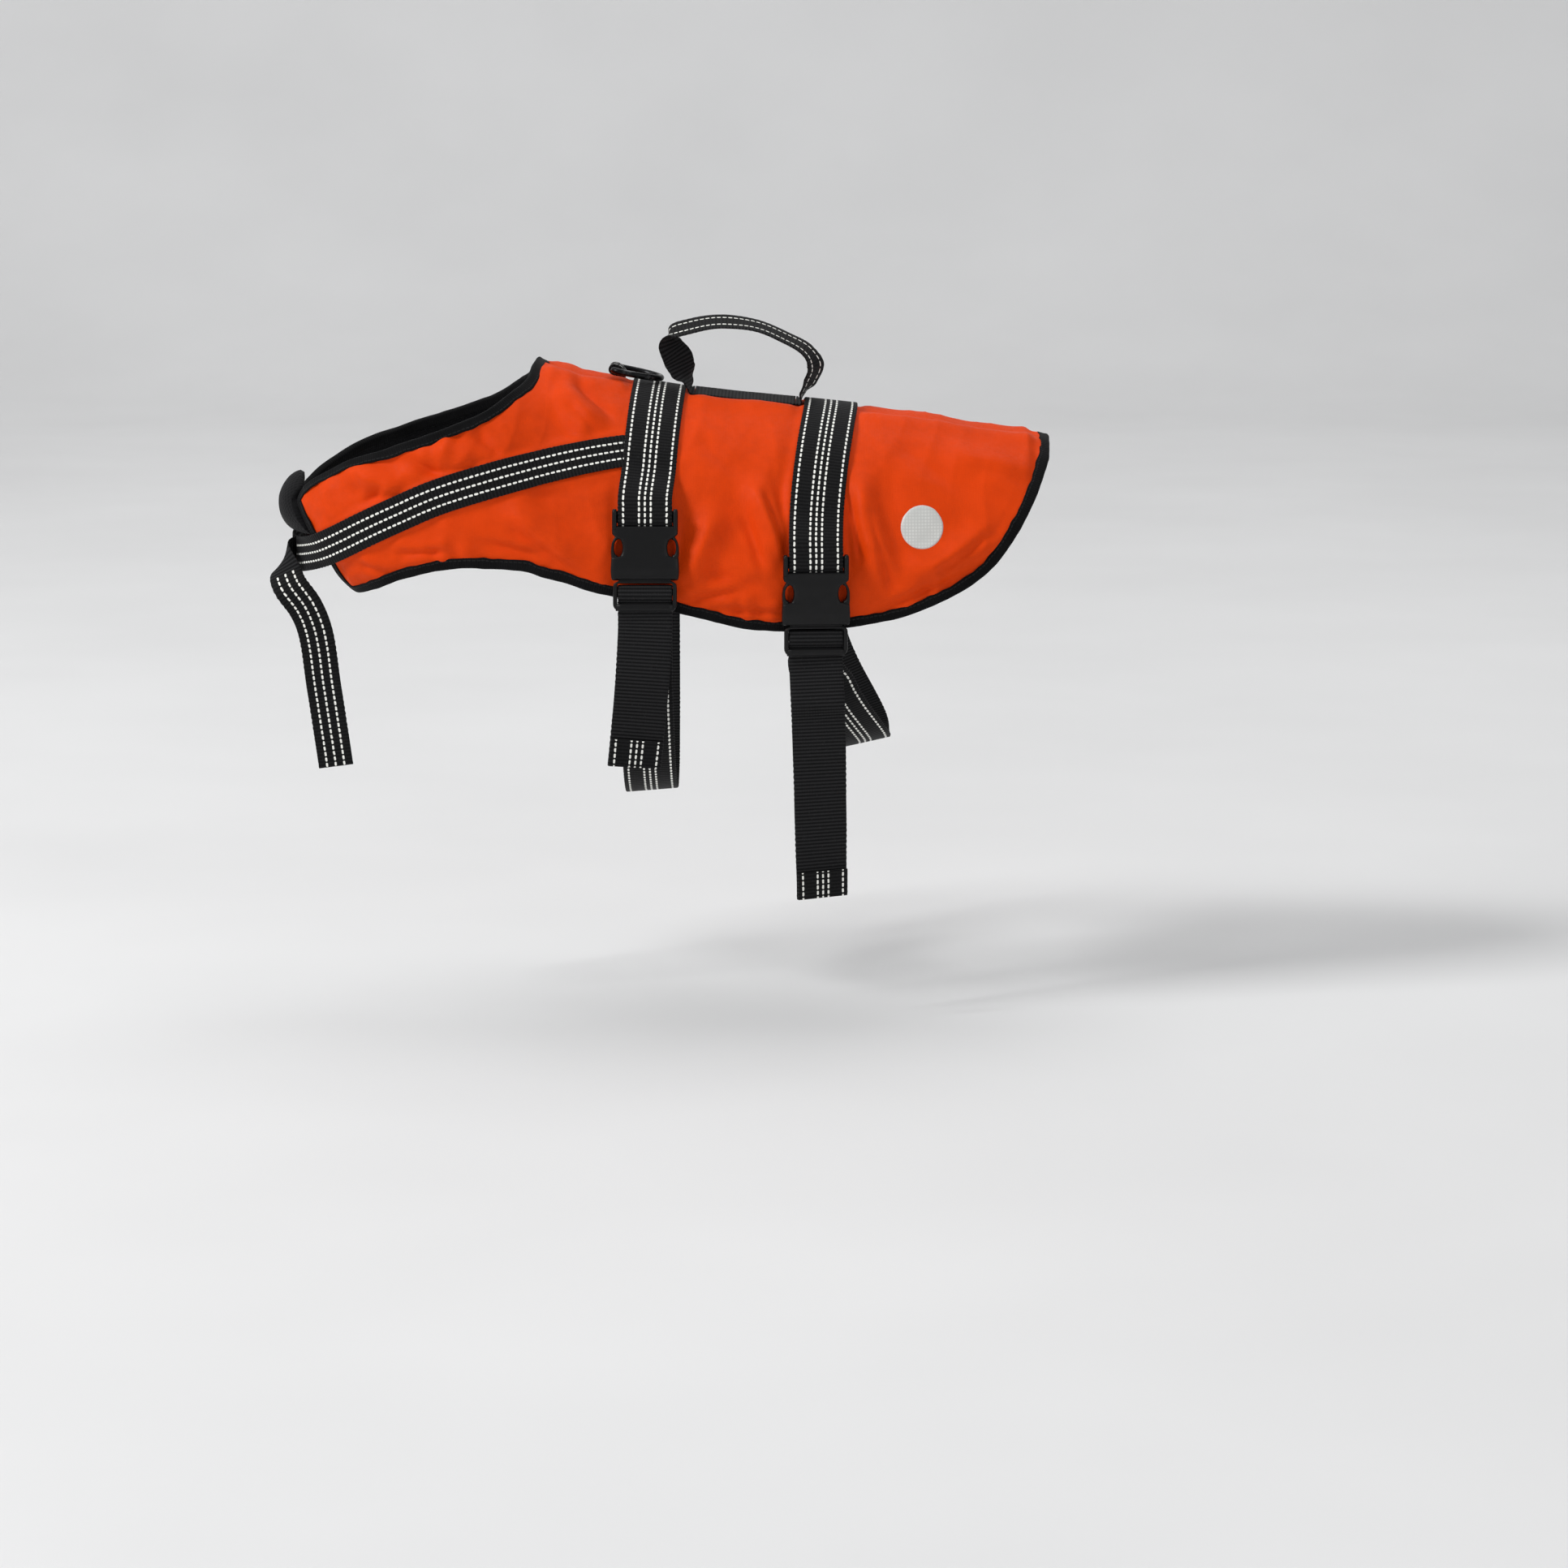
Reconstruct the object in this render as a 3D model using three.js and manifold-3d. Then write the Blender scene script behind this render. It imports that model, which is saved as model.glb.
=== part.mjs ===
// A dog life jacket, buckled and hollow as worn: two padded side panels sewn along the spine, bound edges,
// two girth straps with side-release buckles on the left, a chest strap, a grab handle and a leash ring.
// Millimetres. The garment faces -X, its left side is -Y and +Z is up. The origin is on the inner face of the
// spine, midway between the girth straps, where the wearer's back carries it.
import * as THREE from "three";
import { mergeVertices } from "three/addons/utils/BufferGeometryUtils.js";
import Module from "manifold-3d";

const wasm = await Module();
wasm.setup();

// Driving sizes
const SEAM = 0.3;
const PANEL = { full: 7, edge: 3.8, taper: 16, spine: 3.4 };
const TAPE = { wall: 1, lap: 6.2, slope: 1.5, gap: 0.8, rim: 4.4, over: 6, bevel: 0.65 };
const GIRTH_WEB = { width: 38, thick: 1.8 };
const CHEST_WEB = { width: 25, thick: 1.3 };
const WEB_LIFT = 1;
const COLUMN_STEP = 15;
const PANEL_ROWS = 12;
const WEB_STEP = 9;
const TAIL_STEP = 5;

// The general figure inside the garment: heights of its back and belly and its half width at each x.
const TRUNK = [
  { x: -330, back: 150, belly: -210, half: 84 },
  { x: -250, back: 122, belly: -235, half: 84 },
  { x: -200, back: 78, belly: -255, half: 92 },
  { x: -170, back: 49, belly: -268, half: 96 },
  { x: -138, back: 25, belly: -276, half: 99 },
  { x: -100, back: 16, belly: -279, half: 101 },
  { x: -62, back: 7.5, belly: -277, half: 101 },
  { x: 0, back: 0, belly: -262, half: 99 },
  { x: 62, back: -6, belly: -248, half: 95 },
  { x: 115, back: -12, belly: -236, half: 91 },
  { x: 160, back: -18, belly: -226, half: 87 },
  { x: 230, back: -27, belly: -210, half: 80 },
];
const CHEST = { start: -229, reach: 95, leanFrom: -215, leanTo: -324, height: -74, lean: 0.0115, most: 80 };

// The cut outline of a side panel in side view, front to rear. Each row pairs a point of the neck and spine
// edge with one of the front and hem edge. reach is how much further forward the right panel's hem goes.
const SPINE = null;
const OUTLINE = [
  { topX: -309, topZ: -56, hemX: -314, hemZ: -65, reach: 6 },
  { topX: -300, topZ: -49, hemX: -305, hemZ: -82, reach: 8 },
  { topX: -289, topZ: -42.5, hemX: -292, hemZ: -101, reach: 10 },
  { topX: -275, topZ: -35, hemX: -283, hemZ: -117, reach: 11 },
  { topX: -262, topZ: -30, hemX: -273, hemZ: -125, reach: 11 },
  { topX: -248, topZ: -25, hemX: -257, hemZ: -120.5, reach: 9 },
  { topX: -228, topZ: -17.5, hemX: -235, hemZ: -112, reach: 5 },
  { topX: -205, topZ: -9.5, hemX: -208, hemZ: -105.5, reach: 0 },
  { topX: -184, topZ: -1.5, hemX: -184, hemZ: -104, reach: 0 },
  { topX: -166, topZ: 10, hemX: -164, hemZ: -104.8, reach: 0 },
  { topX: -152, topZ: 21, hemX: -146, hemZ: -107.5, reach: 0 },
  { topX: -146, topZ: SPINE, hemX: -128, hemZ: -112.5, reach: 0 },
  { topX: -120, topZ: SPINE, hemX: -106, hemZ: -119.5, reach: 0 },
  { topX: -80, topZ: SPINE, hemX: -72, hemZ: -127, reach: 0 },
  { topX: -35, topZ: SPINE, hemX: -33, hemZ: -137.5, reach: 0 },
  { topX: 15, topZ: SPINE, hemX: 10, hemZ: -147, reach: 0 },
  { topX: 65, topZ: SPINE, hemX: 60, hemZ: -147.5, reach: 0 },
  { topX: 110, topZ: SPINE, hemX: 104, hemZ: -141, reach: 0 },
  { topX: 145, topZ: SPINE, hemX: 140, hemZ: -128.5, reach: 0 },
  { topX: 175, topZ: SPINE, hemX: 172, hemZ: -109, reach: 0 },
  { topX: 195, topZ: SPINE, hemX: 195, hemZ: -80, reach: 0 },
  { topX: 208, topZ: SPINE, hemX: 209, hemZ: -54, reach: 0 },
  { topX: 219, topZ: SPINE, hemX: 217, hemZ: -36, reach: 0 },
];
const NAPE_ROW = 11;
const WING_ROWS = 4;

// The largest folds, raised on the outer face: a soft ridge from one side-view point to another.
const FOLDS = [
  { fromX: -272, fromZ: -38, toX: -240, toZ: -52, width: 9, rise: 1.8 },
  { fromX: -214, fromZ: -20, toX: -188, toZ: -36, width: 10, rise: 1.5 },
  { fromX: -130, fromZ: 8, toX: -104, toZ: -14, width: 9, rise: 1.8 },
  { fromX: -160, fromZ: -66, toX: -112, toZ: -100, width: 12, rise: 1.6 },
  { fromX: -36, fromZ: -110, toX: -18, toZ: -70, width: 10, rise: 1.5 },
  { fromX: 8, fromZ: -52, toX: 26, toZ: -96, width: 10, rise: 2 },
  { fromX: 82, fromZ: -50, toX: 96, toZ: -104, width: 10, rise: 2 },
  { fromX: 120, fromZ: -112, toX: 168, toZ: -88, width: 11, rise: 1.5 },
  { fromX: 150, fromZ: -36, toX: 196, toZ: -48, width: 10, rise: 1.3 },
];

// A girth strap: its x over the spine, at the buckle and under the belly, and the height of its buckle's top.
const GIRTHS = {
  front: { spineX: -60.5, buckleX: -67.5, bellyX: -66.5, buckleTop: -64.5 },
  rear: { spineX: 62.9, buckleX: 51.3, bellyX: 88, buckleTop: -94.5 },
};
// Turns from the spine where a girth strap is at its buckle's x, leaves it, hugs and reaches the belly.
const GIRTH_TURNS = { side: 1.3, under: 1.7, snug: 2.5, belly: 2.9 };
const BELLY_LIFT = 2.5;
const SHOULDER_Z = -30;

// Side-release buckle for the girth webbing. The chest buckle is the same one, smaller.
const BUCKLE = {
  thick: 9.2, back: 0.4, off: 0.2, end: -71.2, frameHalf: 22.3, slotHalf: 19.6,
  recessDepth: 8.5, recessTop: 2.9, windowX: 18, windowY: -27, windowWide: 5.2, windowLong: 11,
};
const BUCKLE_OUTLINE = [
  { half: 22.2, down: 0 }, { half: 23, down: 1.2 }, { half: 23, down: 15.5 }, { half: 19.3, down: 18.5 },
  { half: 19.3, down: 20 }, { half: 22.2, down: 22.5 }, { half: 23, down: 30 }, { half: 23.5, down: 42 },
  { half: 22.4, down: 49 },
];
const CHEST_BUCKLE_SCALE = 0.7;
const CHEST_BUCKLE = { x: -320, femaleY: 41, z: -105.5 };
const CHEST_RUN = 14;

// The chest strap's free end: it bulges forward from the adjuster, turns its face to the left and hangs down.
const CHEST_TAIL = [
  { x: -324.5, y: -16, z: -105.8, wideX: -0.12, wideZ: -1 },
  { x: -329.5, y: -26, z: -109, wideX: -0.45, wideZ: -0.85 },
  { x: -325, y: -39, z: -124, wideX: -0.88, wideZ: -0.4 },
  { x: -313, y: -42.5, z: -141, wideX: -1, wideZ: 0 },
  { x: -306.5, y: -42, z: -158, wideX: -1, wideZ: 0 },
  { x: -301, y: -40, z: -200, wideX: -1, wideZ: 0 },
  { x: -293.5, y: -40, z: -257, wideX: -1, wideZ: 0 },
];

// The free end of each girth strap hangs in front of the belly strap: offsets from the adjuster.
const TAILS = {
  front: [
    { x: 0, y: 0, z: -10, turn: 0 }, { x: -1.5, y: -3, z: -40, turn: 4 },
    { x: -4.5, y: -1, z: -74, turn: 8 }, { x: -8.5, y: 0, z: -110, turn: 14 },
  ],
  rear: [
    { x: 0.5, y: -1, z: -12, turn: 0 }, { x: 1.5, y: -6.5, z: -33, turn: 0 },
    { x: 2, y: -2, z: -45, turn: 4 },
    { x: 3.5, y: -1, z: -108, turn: 14 }, { x: 4.5, y: 0, z: -173, turn: 22 },
  ],
};
const HEM_FOLD = 20;

// The chest strap's centre line in side view on the panel, from the front girth strap forward.
const CHEST_LINE = [
  { x: -89.5, z: -30.2 }, { x: -110, z: -33 }, { x: -137, z: -37.8 }, { x: -175, z: -45.5 },
  { x: -213, z: -56.5 }, { x: -240, z: -68 }, { x: -262, z: -78.5 }, { x: -281, z: -88.5 },
  { x: -294, z: -94.5 },
];

// The grab handle's centre line. turn swings the webbing's width about the vertical, tilt lifts its right.
const HANDLE = [
  { x: -38.8, z: 17.5, turn: 14, tilt: 0 },
  { x: -42.6, z: 25, turn: 48, tilt: 2 },
  { x: -46.4, z: 33.5, turn: 58, tilt: 8 },
  { x: -51.8, z: 43, turn: 38, tilt: 20 },
  { x: -52.5, z: 51, turn: 12, tilt: 24 },
  { x: -38, z: 56.5, turn: 0, tilt: 21 },
  { x: -15, z: 59.8, turn: 0, tilt: 18 },
  { x: 10, z: 57, turn: 0, tilt: 15 },
  { x: 31, z: 48.5, turn: 5, tilt: 14 },
  { x: 47, z: 38.5, turn: 16, tilt: 11 },
  { x: 52.5, z: 28, turn: 28, tilt: 6 },
  { x: 48.5, z: 17, turn: 26, tilt: 2 },
  { x: 43.5, z: 9.5, turn: 10, tilt: 0 },
];
const HANDLE_BASE = { fromX: -34, toX: 38, bend: 3, lift: -0.8 };

// The leash ring lies back over the front girth strap and hinges on its straight bar.
const RING = { wire: 4.6, half: 18.5, depth: 34, barX: -92, corner: 5, bow: 23, sides: 8 };
const RING_LOOP = { width: 22, thick: 1.4, endX: -82.8 };

// The padded piece between the wings: its edges' heights, how far it arches up and how it swells.
const CHEST_PAD = {
  top: -57.5, bottom: -87, arch: 13, fromWing: 3.4, thick: 5, bulge: 6.5,
  columns: 14, rows: 6, square: 0.6, rim: 0.08,
};

const COLOUR = { shell: 0xd63f08, web: 0x0a0a0a, plastic: 0x141416, metal: 0x1b1b1d };

const finish = {
  shell: new THREE.MeshStandardMaterial({ color: COLOUR.shell, roughness: 0.75 }),
  web: new THREE.MeshStandardMaterial({ color: COLOUR.web, roughness: 0.8 }),
  plastic: new THREE.MeshStandardMaterial({ color: COLOUR.plastic, roughness: 0.5 }),
  metal: new THREE.MeshStandardMaterial({ color: COLOUR.metal, roughness: 0.4, metalness: 0.6 }),
};

const group = new THREE.Group();
group.name = "dog_life_jacket";

const V = (x, y, z) => new THREE.Vector3(x, y, z);
const clamp = THREE.MathUtils.clamp;
const smooth = THREE.MathUtils.smoothstep;
const radians = THREE.MathUtils.degToRad;

function add(name, geometry, material) {
  const mesh = new THREE.Mesh(geometry, material);
  mesh.name = name;
  group.add(mesh);
  return mesh;
}

// Cubic through the points (xs, ys) with slopes limited so that it never overshoots a point.
function interpolate(xs, ys, x) {
  const last = xs.length - 1;
  let i = 0;
  while (i < last - 1 && x > xs[i + 1]) i += 1;
  const slope = (k) => (ys[k + 1] - ys[k]) / (xs[k + 1] - xs[k]);
  const tangent = (k) => {
    if (k === 0) return slope(0);
    if (k === last) return slope(last - 1);
    const a = slope(k - 1);
    const b = slope(k);
    return a * b <= 0 ? 0 : (2 * a * b) / (a + b);
  };
  const h = xs[i + 1] - xs[i];
  const t = clamp((x - xs[i]) / h, 0, 1);
  const t2 = t * t;
  const t3 = t2 * t;
  return (2 * t3 - 3 * t2 + 1) * ys[i] + (t3 - 2 * t2 + t) * h * tangent(i)
    + (3 * t2 - 2 * t3) * ys[i + 1] + (t3 - t2) * h * tangent(i + 1);
}

const trunkX = TRUNK.map((row) => row.x);
const trunk = (key, x) => interpolate(trunkX, TRUNK.map((row) => row[key]), x);

// How far the rounded chest leans back from its upright nose line at height z.
function chestLean(x, z) {
  const blend = 1 - smooth(x, CHEST.leanTo, CHEST.leanFrom);
  return blend * CHEST.lean * Math.min(Math.abs(z - CHEST.height), CHEST.most) ** 2;
}

const chestRound = (x) => Math.sqrt(Math.max(0, 1 - (Math.max(0, CHEST.start - x) / CHEST.reach) ** 2));

// A point of the figure: x is the section and angle turns from the spine, negative towards the left side.
function figure(x, angle) {
  const back = trunk("back", x);
  const belly = trunk("belly", x);
  const z = (back + belly) / 2 + ((back - belly) / 2) * Math.cos(angle);
  const y = trunk("half", x) * chestRound(x) * Math.sin(angle);
  return V(x + chestLean(x, z), y, z);
}

// The section and angle of the figure's left side that show at x and z in side view.
function sideView(x, z) {
  let section = x;
  for (let pass = 0; pass < 12; pass += 1) section = x - chestLean(section, z);
  return { section, angle: -angleAt(section, z) };
}

function outward(x, angle) {
  const d = 0.01;
  const along = figure(x + d * 10, angle).sub(figure(x - d * 10, angle));
  const round = figure(x, angle + d).sub(figure(x, angle - d));
  return along.cross(round).normalize();
}

// Evenly spaced values, both ends included.
function spread(from, to, count) {
  return Array.from({ length: count + 1 }, (_, k) => from + ((to - from) * k) / count);
}

const lifted = (x, angle, out) => figure(x, angle).addScaledVector(outward(x, angle), out);

// A closed solid from rings of points: each ring is a closed section, and the two ends are capped.
function sweep(rings) {
  const count = rings[0].length;
  const position = rings.flat().flatMap((p) => [p.x, p.y, p.z]);
  const index = [];
  for (let r = 0; r < rings.length - 1; r += 1)
    for (let k = 0; k < count; k += 1) {
      const a = r * count + k;
      const b = r * count + ((k + 1) % count);
      index.push(a, b, b + count, a, b + count, a + count);
    }
  return { position, index, count, rings: rings.length };
}

function geometryOf({ position, index }) {
  const g = new THREE.BufferGeometry();
  g.setAttribute("position", new THREE.Float32BufferAttribute(position, 3));
  let volume = 0;
  const at = (k) => V(position[3 * k], position[3 * k + 1], position[3 * k + 2]);
  for (let k = 0; k < index.length; k += 3)
    volume += at(index[k]).dot(at(index[k + 1]).cross(at(index[k + 2])));
  g.setIndex(volume < 0 ? [...index].reverse() : index);
  g.computeVertexNormals();
  return g;
}

// Caps for a sweep whose section is a strip of pairs: point k faces point count - 1 - k.
function stripCapped(rings) {
  const body = sweep(rings);
  const { count } = body;
  const caps = [0, (body.rings - 1) * count];
  caps.forEach((start, end) => {
    for (let k = 0; k < count / 2 - 1; k += 1) {
      const a = start + k;
      const b = start + k + 1;
      const c = start + count - 2 - k;
      const d = start + count - 1 - k;
      if (end === 0) body.index.push(a, c, b, a, d, c);
      else body.index.push(a, b, c, a, c, d);
    }
  });
  return geometryOf(body);
}

// A wall between two grids of points of the same size, closed round its four edges.
function wall(inner, outer) {
  const rings = inner.map((row, i) => [...row, ...[...outer[i]].reverse()]);
  return stripCapped(rings);
}

// Webbing along stations { at, across }: at is the middle of its thickness, across its width.
function webStations(rows, step = WEB_STEP) {
  const curve = new THREE.CatmullRomCurve3(rows.map((row) => row.at), false, "centripetal");
  const stops = rows.slice(1).reduce((list, row, i) => {
    const count = Math.max(1, Math.round(row.at.distanceTo(rows[i].at) / step));
    for (let k = 1; k <= count; k += 1) list.push(i + k / count);
    return list;
  }, [0]);
  return stops.map((stop) => {
    const i = Math.min(Math.floor(stop), rows.length - 2);
    const t = stop / (rows.length - 1);
    const tangent = curve.getTangent(t);
    const across = rows[i].across.clone().lerp(rows[i + 1].across, stop - i);
    across.addScaledVector(tangent, -across.dot(tangent)).normalize();
    return { stop, at: curve.getPoint(t), across, out: across.clone().cross(tangent) };
  });
}

function webbing(rows, web, step) {
  return webSolid(webStations(rows, step), web);
}

function webSolid(stations, { width, thick }) {
  const rings = stations.map(({ at, across, out }) =>
    [[-1, -1], [1, -1], [1, 1], [-1, 1]].map(([a, o]) =>
      at.clone().addScaledVector(across, (a * width) / 2).addScaledVector(out, (o * thick) / 2)));
  return stripCapped(rings);
}

// Panel outlines: the s parameter counts the rows of the outline.
const rowNumbers = OUTLINE.map((_, k) => k);
const outline = (key, s) => interpolate(rowNumbers, OUTLINE.map((row) => row[key]), s);
const places = OUTLINE.map((row) => ({
  top: row.topZ === SPINE ? { section: row.topX, angle: 0 } : sideView(row.topX, row.topZ),
  left: sideView(row.hemX, row.hemZ),
  right: sideView(row.hemX - row.reach, row.hemZ),
  rightTop: row.topZ === SPINE
    ? { section: row.topX, angle: 0 }
    : sideView(row.topX - row.reach / 2, row.topZ),
}));
const place = (edge, key, s) => interpolate(rowNumbers, places.map((p) => p[edge][key]), s);

const columnStops = rowNumbers.slice(1).reduce((stops, row) => {
  const length = Math.hypot(outline("hemX", row) - outline("hemX", row - 1),
    outline("hemZ", row) - outline("hemZ", row - 1));
  const steps = Math.max(2, Math.ceil(length / COLUMN_STEP));
  for (let k = 1; k <= steps; k += 1) stops.push(row - 1 + k / steps);
  return stops;
}, [0]);
const napeColumn = columnStops.indexOf(NAPE_ROW);

const rowStops = Array.from({ length: PANEL_ROWS + 1 }, (_, k) => {
  const u = k / PANEL_ROWS;
  return (u + (1 - Math.cos(Math.PI * u)) / 2) / 2;
});

// 0 under the straps and 1 away from them, so that the webbing lies on a smooth panel.
function clearOfStraps(x, z) {
  const toGirth = Math.min(...Object.values(GIRTHS).map(({ spineX, buckleX }) =>
    Math.abs(x - (z > SHOULDER_Z ? (spineX + buckleX) / 2 : buckleX))));
  const toChest = Math.min(...CHEST_LINE.slice(1).map((end, k) => {
    const start = CHEST_LINE[k];
    const run = new THREE.Line3(V(start.x, 0, start.z), V(end.x, 0, end.z));
    return run.closestPointToPoint(V(x, 0, z), true, V(0, 0, 0)).distanceTo(V(x, 0, z));
  }));
  return smooth(toGirth, 20, 32) * smooth(toChest, 15, 26);
}

function foldRise(x, z) {
  let rise = 0;
  for (const fold of FOLDS) {
    const run = V(fold.toX - fold.fromX, 0, fold.toZ - fold.fromZ);
    const t = V(x - fold.fromX, 0, z - fold.fromZ).dot(run) / run.lengthSq();
    const aside = Math.hypot(x - fold.fromX - t * run.x, z - fold.fromZ - t * run.z);
    const ends = smooth(t, -0.25, 0.25) * (1 - smooth(t, 0.75, 1.25));
    rise += clearOfStraps(x, z) * fold.rise * ends * Math.exp(-((aside / fold.width) ** 2));
  }
  return rise;
}

// The panel's grid on the figure: columns run from the neck and spine edge down to the hem.
function panelGrid(side) {
  const [topEdge, hemEdge] = side < 0 ? ["top", "left"] : ["rightTop", "right"];
  return columnStops.map((s) => {
    const from = { section: place(topEdge, "section", s), angle: place(topEdge, "angle", s) };
    const to = { section: place(hemEdge, "section", s), angle: place(hemEdge, "angle", s) };
    const column = rowStops.map((v) => {
      const section = from.section + (to.section - from.section) * v;
      const angle = -side * (from.angle + (to.angle - from.angle) * v);
      return { base: figure(section, angle), normal: outward(section, angle) };
    });
    column.forEach((cell) => {
      if (cell.base.y * side < SEAM / 2) cell.base.y = (side * SEAM) / 2;
    });
    return column;
  });
}

// The nearest distance from a point to a polyline.
function distanceTo(line, point) {
  const nearest = V(0, 0, 0);
  return Math.min(...line.slice(1).map((end, k) =>
    new THREE.Line3(line[k], end).closestPointToPoint(point, true, nearest).distanceTo(point)));
}

// The panel puffs up away from its bound edges and dips along the spine seam.
function panelThickness(grid) {
  const top = grid.map((column) => column[0].base);
  const border = [
    ...grid[0].map(({ base }) => base), ...grid.map((column) => column[PANEL_ROWS].base),
    ...grid[grid.length - 1].map(({ base }) => base).reverse(),
  ];
  const neck = top.slice(0, napeColumn + 1);
  const spine = top.slice(napeColumn);
  return ({ base }) => {
    const fromEdge = smooth(Math.min(distanceTo(border, base), distanceTo(neck, base)), 0, PANEL.taper);
    const fromSpine = smooth(distanceTo(spine, base), 0, PANEL.taper);
    const edge = PANEL.edge + (PANEL.full - PANEL.edge) * fromEdge;
    const seam = PANEL.spine + (PANEL.full - PANEL.spine) * fromSpine;
    return Math.min(edge, seam) + foldRise(base.x, base.z) * fromEdge * fromSpine;
  };
}

function panelWall(side) {
  const grid = panelGrid(side);
  const inner = grid.map((column) => column.map(({ base }) => base.clone()));
  const thickness = panelThickness(grid);
  const outer = grid.map((column) => column.map((cell) => {
    const point = cell.base.clone().addScaledVector(cell.normal, thickness(cell));
    if (point.y * side < SEAM / 2) point.y = (side * SEAM) / 2;
    return point;
  }));
  return wall(inner, outer);
}

// Edge tape: a C section that laps both faces of the panel. u runs outwards past the edge, n off the figure.
const TAPE_SECTION = [
  { u: -TAPE.lap, n: TAPE.over },
  { u: TAPE.gap, n: TAPE.rim },
  { u: TAPE.gap, n: -SEAM },
  { u: -TAPE.lap, n: -SEAM - TAPE.slope },
  { u: -TAPE.lap, n: -SEAM - TAPE.slope - TAPE.wall },
  { u: TAPE.gap + TAPE.wall, n: -SEAM - TAPE.wall * TAPE.bevel },
  { u: TAPE.gap + TAPE.wall, n: TAPE.rim + TAPE.wall * TAPE.bevel },
  { u: -TAPE.lap, n: TAPE.over + TAPE.wall },
];

function tape(cells) {
  const rings = cells.map(({ base, normal }, k) => {
    const before = cells[Math.max(0, k - 1)].base;
    const after = cells[Math.min(cells.length - 1, k + 1)].base;
    const run = after.clone().sub(before).normalize();
    const past = normal.clone().cross(run).normalize();
    const off = run.clone().cross(past).normalize();
    return TAPE_SECTION.map(({ u, n }) => base.clone().addScaledVector(past, u).addScaledVector(off, n));
  });
  return stripCapped(rings);
}

function tapes() {
  const left = panelGrid(-1);
  const right = panelGrid(1);
  const neck = (grid) => grid.slice(1, napeColumn + 1).map((column) => column[0]);
  const hem = (grid) => [
    grid[0][0], grid[0][PANEL_ROWS / 2], ...grid.map((column) => column[PANEL_ROWS]),
    ...[0.6, 0.3, 0].map((v) => grid[grid.length - 1][Math.round(v * PANEL_ROWS)]),
  ];
  const middle = ({ base, normal }) => ({ base: V(base.x, 0, base.z), normal: V(normal.x, 0, normal.z) });
  const joined = (a, b) => [...a.slice(0, -1), middle(a[a.length - 1]), ...b.slice(0, -1).reverse()];
  add("neck_binding", tape(joined(neck(left), neck(right))), finish.web);
  add("hem_binding", tape(joined(hem(right), hem(left))), finish.web);
}

// A girth strap's x at an angle from the spine: from its spine x to its side x over the first quarter turn.
function girthX({ spineX, buckleX, bellyX }, angle) {
  const turn = Math.abs(angle);
  const { side, under, belly } = GIRTH_TURNS;
  const toBuckle = (buckleX - spineX) * smooth(turn, 0, side);
  return spineX + toBuckle + (bellyX - buckleX) * smooth(turn, under, belly);
}

const ALONG = V(1, 0, 0);
function webAt(girth, angle, out) {
  const x = girthX(girth, angle);
  const normal = outward(x, angle);
  return { at: lifted(x, angle, out), across: ALONG.clone().addScaledVector(normal, -normal.x).normalize() };
}

const PANEL_WEB = PANEL.full + WEB_LIFT + GIRTH_WEB.thick / 2;

// The frame of a buckle on the left side: its Y axis runs up the strap and its Z axis points off the panel.
function girthFrame(girth) {
  const half = -BUCKLE.end / 2;
  const middle = sideView(girth.buckleX, girth.buckleTop - half);
  const off = outward(middle.section, middle.angle);
  const up = off.clone().cross(ALONG).normalize();
  const wide = up.clone().cross(off);
  const origin = lifted(middle.section, middle.angle, PANEL.full + BUCKLE.off).addScaledVector(up, half);
  return new THREE.Matrix4().makeBasis(wide, up, off).setPosition(origin);
}

const chestFrame = new THREE.Matrix4()
  .makeBasis(V(0, 0, 1), V(0, 1, 0), V(-1, 0, 0))
  .scale(V(CHEST_BUCKLE_SCALE, CHEST_BUCKLE_SCALE, CHEST_BUCKLE_SCALE))
  .setPosition(CHEST_BUCKLE.x, CHEST_BUCKLE.femaleY, CHEST_BUCKLE.z);

const local = (frame, x, y, z) => V(x, y, z).applyMatrix4(frame);

function manifold(geometry) {
  const plain = geometry.clone();
  plain.deleteAttribute("normal");
  plain.deleteAttribute("uv");
  const merged = mergeVertices(plain, 1e-4);
  return new wasm.Manifold(new wasm.Mesh({
    numProp: 3,
    vertProperties: merged.attributes.position.array,
    triVerts: new Uint32Array(merged.index.array),
  }));
}

function fromManifold(solid, frame) {
  const { vertProperties, triVerts } = solid.getMesh();
  const g = new THREE.BufferGeometry();
  g.setAttribute("position", new THREE.BufferAttribute(vertProperties, 3));
  g.setIndex(new THREE.BufferAttribute(triVerts, 1));
  g.applyMatrix4(frame);
  g.computeVertexNormals();
  return g;
}

function plate(shape, low, high) {
  const settings = { depth: high - low, bevelEnabled: false, curveSegments: 3 };
  return manifold(new THREE.ExtrudeGeometry(shape, settings).translate(0, 0, low));
}

function block(x0, x1, y0, y1, z0, z1) {
  return manifold(new THREE.BoxGeometry(x1 - x0, y1 - y0, z1 - z0)
    .translate((x0 + x1) / 2, (y0 + y1) / 2, (z0 + z1) / 2));
}

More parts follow.
